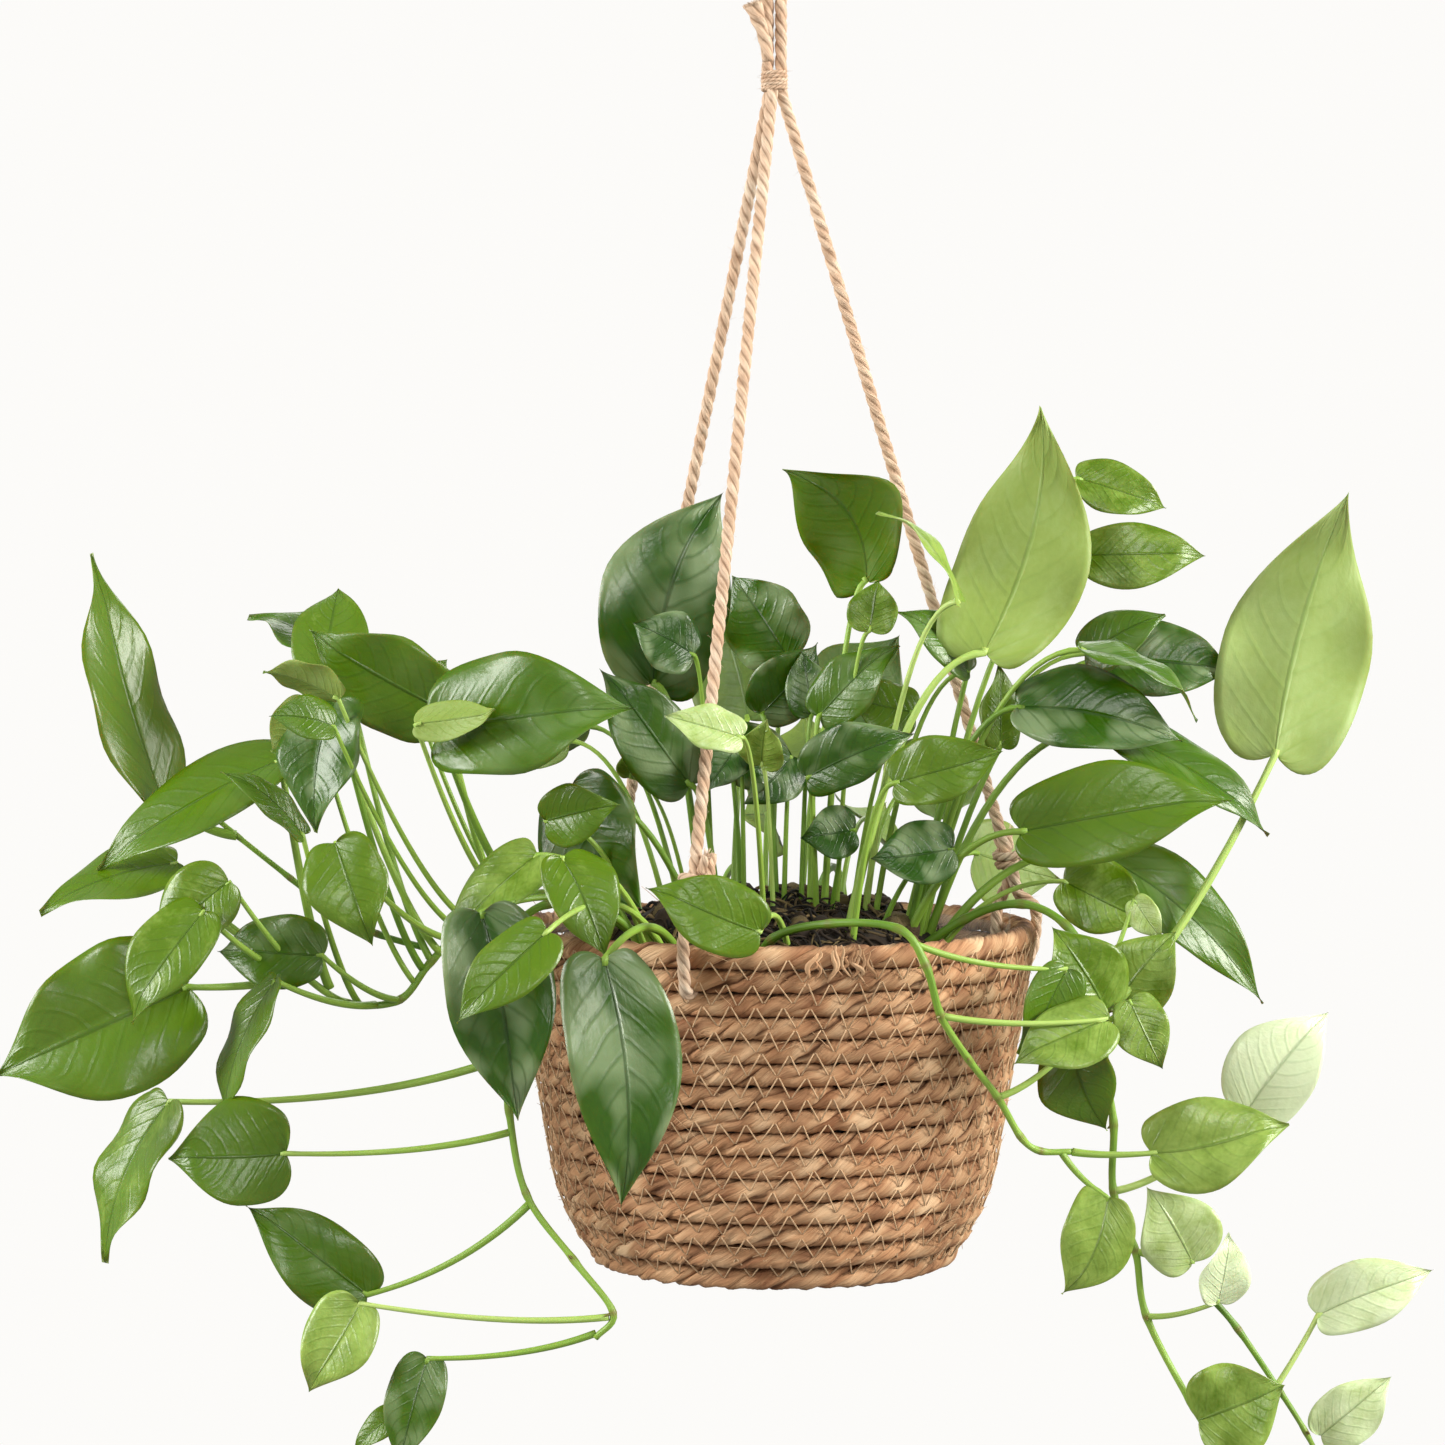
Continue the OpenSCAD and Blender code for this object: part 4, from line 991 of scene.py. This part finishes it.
def add_stem(soup, points, thickness=VINE_R, seed=3):
    """Smooth stem, thicker where leaves leave it, thinner and lighter towards its tip."""
    rng = np.random.default_rng(seed)
    path = smooth_path(points, 2.2)
    s = lengths(path)
    t = s / s[-1]
    nodes = np.array(points, float)[1:-1]
    near = np.min(np.linalg.norm(path[:, None] - nodes[None], axis=2), axis=1)
    knuckle = np.exp(-(near / 3.0) ** 2)
    radius = thickness * (1 - 0.28 * t) * (0.92 + 0.22 * knuckle) * (1 + 0.02 * wander(len(path), 12, rng))
    tint = 0.22 + 0.4 * t + 0.05 * wander(len(path), 7, rng)
    scar = 0.75 * np.exp(-(near / 1.1) ** 2)
    add_tube(soup, path, radius, 12, tint=tint[:, None], scar=scar[:, None])
    for node in nodes[2:]:
        if rng.uniform() < 0.6:
            out = unit(rng.normal(size=3) + (0, -0.4, -0.8))
            nub = node + out * np.linspace(1.2, 1.2 + rng.uniform(2.0, 4.0), 5)[:, None]
            add_tube(soup, nub, np.array([0.8, 0.75, 0.65, 0.5, 0.2]), 6, tint=0.3, scar=0.8)


def stalk_route(start, base):
    """A bend in one upright plane: over the rim from inside the basket, with a sag off a stem."""
    start, base = np.array(start, float), np.array(base, float)
    reach = math.hypot(*(base - start)[:2])
    if math.hypot(*start[:2]) < 105:
        top = max(start[2], base[2]) + max(0.0, 0.35 * reach - 0.5 * max(0.0, base[2] - start[2]))
    else:
        top = 0.6 * start[2] + 0.4 * base[2] - 0.06 * reach - 0.2 * abs(base[2] - start[2])
    t = np.linspace(0, 1, 18)[:, None]
    out = 0.8 * (1 - t) * t + t * t
    xy = start[:2] + (base - start)[:2] * out
    z = (1 - t) ** 2 * start[2] + 2 * (1 - t) * t * top + t * t * base[2]
    return np.hstack([xy, z])


def add_stalk(soup, start, base, tip, tone, rng):
    if np.linalg.norm(np.subtract(base, start)) <= 12:
        return
    path = stalk_route(start, base)
    path = np.vstack([path, path[-1] + 2.5 * unit(np.subtract(tip, base))])
    t = lengths(path) / lengths(path)[-1]
    thick = 0.85 + 0.0095 * min(110, math.dist(base, tip))
    radius = thick * (1.3 - 0.5 * t + 0.2 * np.exp(-((t - 0.96) / 0.03) ** 2))
    tint = 0.30 + 0.5 * tone + 0.12 * t + rng.uniform(-0.1, 0.12)
    add_tube(soup, path, radius, 10, tint=tint[:, None], scar=0.0)


def leaf_frame(base, tip, roll):
    """Midrib direction, the way the upper side faces, and the direction across, for one leaf."""
    m = unit(np.subtract(tip, base))
    facing = unit(np.array([0, -1.0, 0]) - m * -m[1])
    n = facing * math.cos(math.radians(roll)) + np.cross(m, facing) * math.sin(math.radians(roll))
    return m, n, np.cross(n, m)


def add_leaf(soup, base, tip, width, roll, tone, sweep, rng):
    """Heart-shaped blade with a drawn-out tip: folded at the midrib, bowed and a little twisted."""
    size = math.dist(base, tip)
    m, n, s = leaf_frame(base, tip, roll)
    sideways = leaf_frame(base, tip, 0)[2]
    rows, columns = 33, 17
    a = np.radians(np.linspace(4, 180, rows))[:, None]
    v = np.linspace(-1, 1, columns)[None]
    away = np.abs(v)
    middle = size * (1 - np.cos(a)) / 2
    edge = middle - 0.11 * size * np.sin(a) * (1 + np.cos(a))
    reach = np.where(a <= math.pi / 2, np.sin(a), np.abs(np.sin(a)) ** 3) * width / 2
    wobble = 1 + 0.03 * np.sin(rng.uniform(3, 5) * a + rng.uniform(0, 6) + 2 * np.sign(v))
    x = middle + (edge - middle) * away ** 1.5
    y = reach * v * wobble * (1 + rng.uniform(-0.08, 0.08) * np.sign(v))
    t = np.clip(x / size, 0, 1)
    bow = size * rng.uniform(0.03, 0.10) * 4 * t * (1 - t)
    lift = rng.uniform(0.10, 0.36) * np.abs(y) * np.exp(-1.1 * (2 * np.abs(y) / width) ** 2)
    waves, shift = rng.uniform(1.0, 2.4), rng.uniform(0, 2 * math.pi)
    ripple = 0.045 * width * away ** 2.5 * np.sin(2 * math.pi * waves * t + shift + 1.4 * np.sign(v))
    curl = -0.09 * size * smooth_step(t, 0.76, 1.0) * rng.uniform(0.0, 1.0)
    quilt = 0.006 * width * np.cos(2 * math.pi * 8 * (t - 0.3 * away ** 1.35)) * np.sin(math.pi * away)
    z = bow + lift + ripple + curl + quilt
    twist = math.radians(rng.uniform(-20, 20)) * (t - 0.2)
    y, z = y * np.cos(twist) - z * np.sin(twist), y * np.sin(twist) + z * np.cos(twist)
    aside = (sweep + rng.uniform(-0.035, 0.035) * size) * 4 * t * (1 - t)
    taper = smooth_step(np.sin(a), 0.0, 0.35) * (1 - 0.75 * away ** 4)
    half = LEAF_T / 2 * np.maximum(taper, 0.2)
    leaf = np.stack([t, np.broadcast_to(v, t.shape), np.full(t.shape, rng.uniform(0, 50))], axis=-1)
    point = np.asarray(base, float) + x[..., None] * m + y[..., None] * s + aside[..., None] * sideways
    top = point + (z + half)[..., None] * n
    low = point + (z - half)[..., None] * n
    count = rows * columns
    faces = [piece for a, b, c, d in grid_faces(rows, columns, wrap_columns=False)
             for piece in ([a, b, c], [a, c, d])]
    under = [[i + count for i in face[::-1]] for face in faces]
    ring = list(range(columns))
    ring += [i * columns + columns - 1 for i in range(1, rows)]
    ring += [(rows - 1) * columns + j for j in range(columns - 2, -1, -1)]
    ring += [i * columns for i in range(rows - 2, 0, -1)]
    band = [[i, j, j + count, i + count][::-1] for i, j in zip(ring, ring[1:] + ring[:1])]
    values = np.full(2 * count, tone + rng.uniform(-0.04, 0.04))
    upper = np.concatenate([np.ones(count), np.zeros(count)])
    soup.add(np.concatenate([top.reshape(-1, 3), low.reshape(-1, 3)]), faces + under + band,
             leaf=np.concatenate([leaf.reshape(-1, 3)] * 2), tone=values, upper=upper)


def make_plant(stem, leaf):
    for i, (name, points) in enumerate(VINES.items()):
        soup = Soup()
        young = 0.78 if name in ("stem_right_small", "stem_left_upper") else 1.0
        add_stem(soup, points, VINE_R * young, 40 + i)
        soup.build("vine_" + name, "potted_plant", stem, "stem_green", name)
    for i, (name, rows) in enumerate(LEAVES.items()):
        rng = np.random.default_rng(60 + i)
        stalks, leaves = Soup(), Soup()
        for j, (start, base, tip, width, roll, tone) in enumerate(rows):
            add_stalk(stalks, start, base, tip, tone, rng)
            add_leaf(leaves, base, tip, width, roll, tone, SWEEP.get((name, j), 0.0), rng)
        stalks.build("petioles_" + name, "potted_plant", stem, "stem_green", "stalks_" + name)
        leaves.build("leaves_" + name, "potted_plant", leaf, "leaf_green", "leaf_set_" + name)


def mulch_height(x, y):
    r = np.hypot(x, y) / MULCH_R
    return SOIL_Z + 0.4 + 0.8 * MULCH_RISE * np.sqrt(np.clip(1 - r * r, 0, 1))


def make_mulch(moss):
    """Heap of loose fibre, bark and old roots over the soil."""
    rng = np.random.default_rng(81)
    soup = Soup()
    rings, turns = 16, 72
    at = round_turn(turns)
    verts = []
    for r in np.linspace(MULCH_R, 1.0, rings):
        x, y = r * np.cos(at), r * np.sin(at)
        lumps = 2.6 * np.sin(x * 0.21 + 1.3) * np.cos(y * 0.17) + 0.9 * np.sin(x * 0.53 - y * 0.41)
        z = mulch_height(x, y) + lumps * min(1.0, (MULCH_R - r) / 8)
        verts.append(np.stack([x, y, z], axis=1))
    verts = np.concatenate(verts)
    faces = grid_faces(rings, turns)
    faces.append([(rings - 1) * turns + j for j in range(turns)])
    faces.append(list(range(turns - 1, -1, -1)))
    soup.add(verts, faces, grain=verts / 1000 * (0.2, 0.2, 0.2), tint=rng.uniform(0.0, 0.2, len(verts)))
    for _ in range(46):
        r, a = MULCH_R * math.sqrt(rng.uniform(0, 0.85)), rng.uniform(0, 2 * math.pi)
        lump = np.array([r * math.cos(a), r * math.sin(a), 0.0])
        lump[2] = mulch_height(*lump[:2]) + 1.0
        axis = unit(rng.normal(size=3) * (1, 1, 0.35))
        t = np.linspace(-1, 1, 9)
        girth = rng.uniform(3.0, 7.5) * np.sqrt(np.maximum(0.02, 1 - t ** 2))
        girth = girth * (1 + 0.12 * rng.normal(size=9))
        spine = lump + axis * rng.uniform(4, 9) * t[:, None]
        add_tube(soup, spine, girth, 9, tint=rng.uniform(0.1, 0.55))
    for _ in range(1000):
        r, a = MULCH_R * math.sqrt(rng.uniform(0, 0.93)), rng.uniform(0, 2 * math.pi)
        heading, curve = rng.uniform(0, 2 * math.pi), rng.normal() * 0.09
        length = rng.uniform(9, 26)
        s = np.linspace(0, length, 8)
        bend = heading + curve * s
        x = r * math.cos(a) + np.cumsum(np.cos(bend)) * length / 8
        y = r * math.sin(a) + np.cumsum(np.sin(bend)) * length / 8
        inside = np.minimum(1, (MULCH_R - 1) / np.maximum(np.hypot(x, y), 1))
        x, y = x * inside, y * inside
        z = mulch_height(x, y) + 0.8 + rng.uniform(0, 7) * rng.uniform() * np.sin(math.pi * s / length)
        strand = np.stack([x, y, z], axis=1)
        add_tube(soup, strand, rng.uniform(0.25, 0.9), 5, tint=rng.uniform(0.0, 0.75) ** 1.5)
    soup.build("loose_mulch", "potted_plant", moss, "moss", "moss_mulch")


def dress(node, material):
    """Gives a CAD node that stays in view its finished material."""
    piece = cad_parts[node]
    piece.data.materials.clear()
    piece.data.materials.append(material)


# ---- the scene ----

add_camera()
jute = jute_material()
for number, (side, angle) in enumerate(ROPE_ANGLES.items()):
    make_leg(side, angle, jute, 100 + number)
    make_knot(side, angle, jute, 130 + 5 * number)
make_hanging_loop(jute)
make_basket(straw_material(), thread_material("sewing_thread", rgb(214, 178, 138)))
make_liner(film_material())
make_plant(stem_material(), leaf_material())
make_mulch(moss_material())
dress("grow_pot", pot_material())
dress("soil", soil_material())
add_studio()
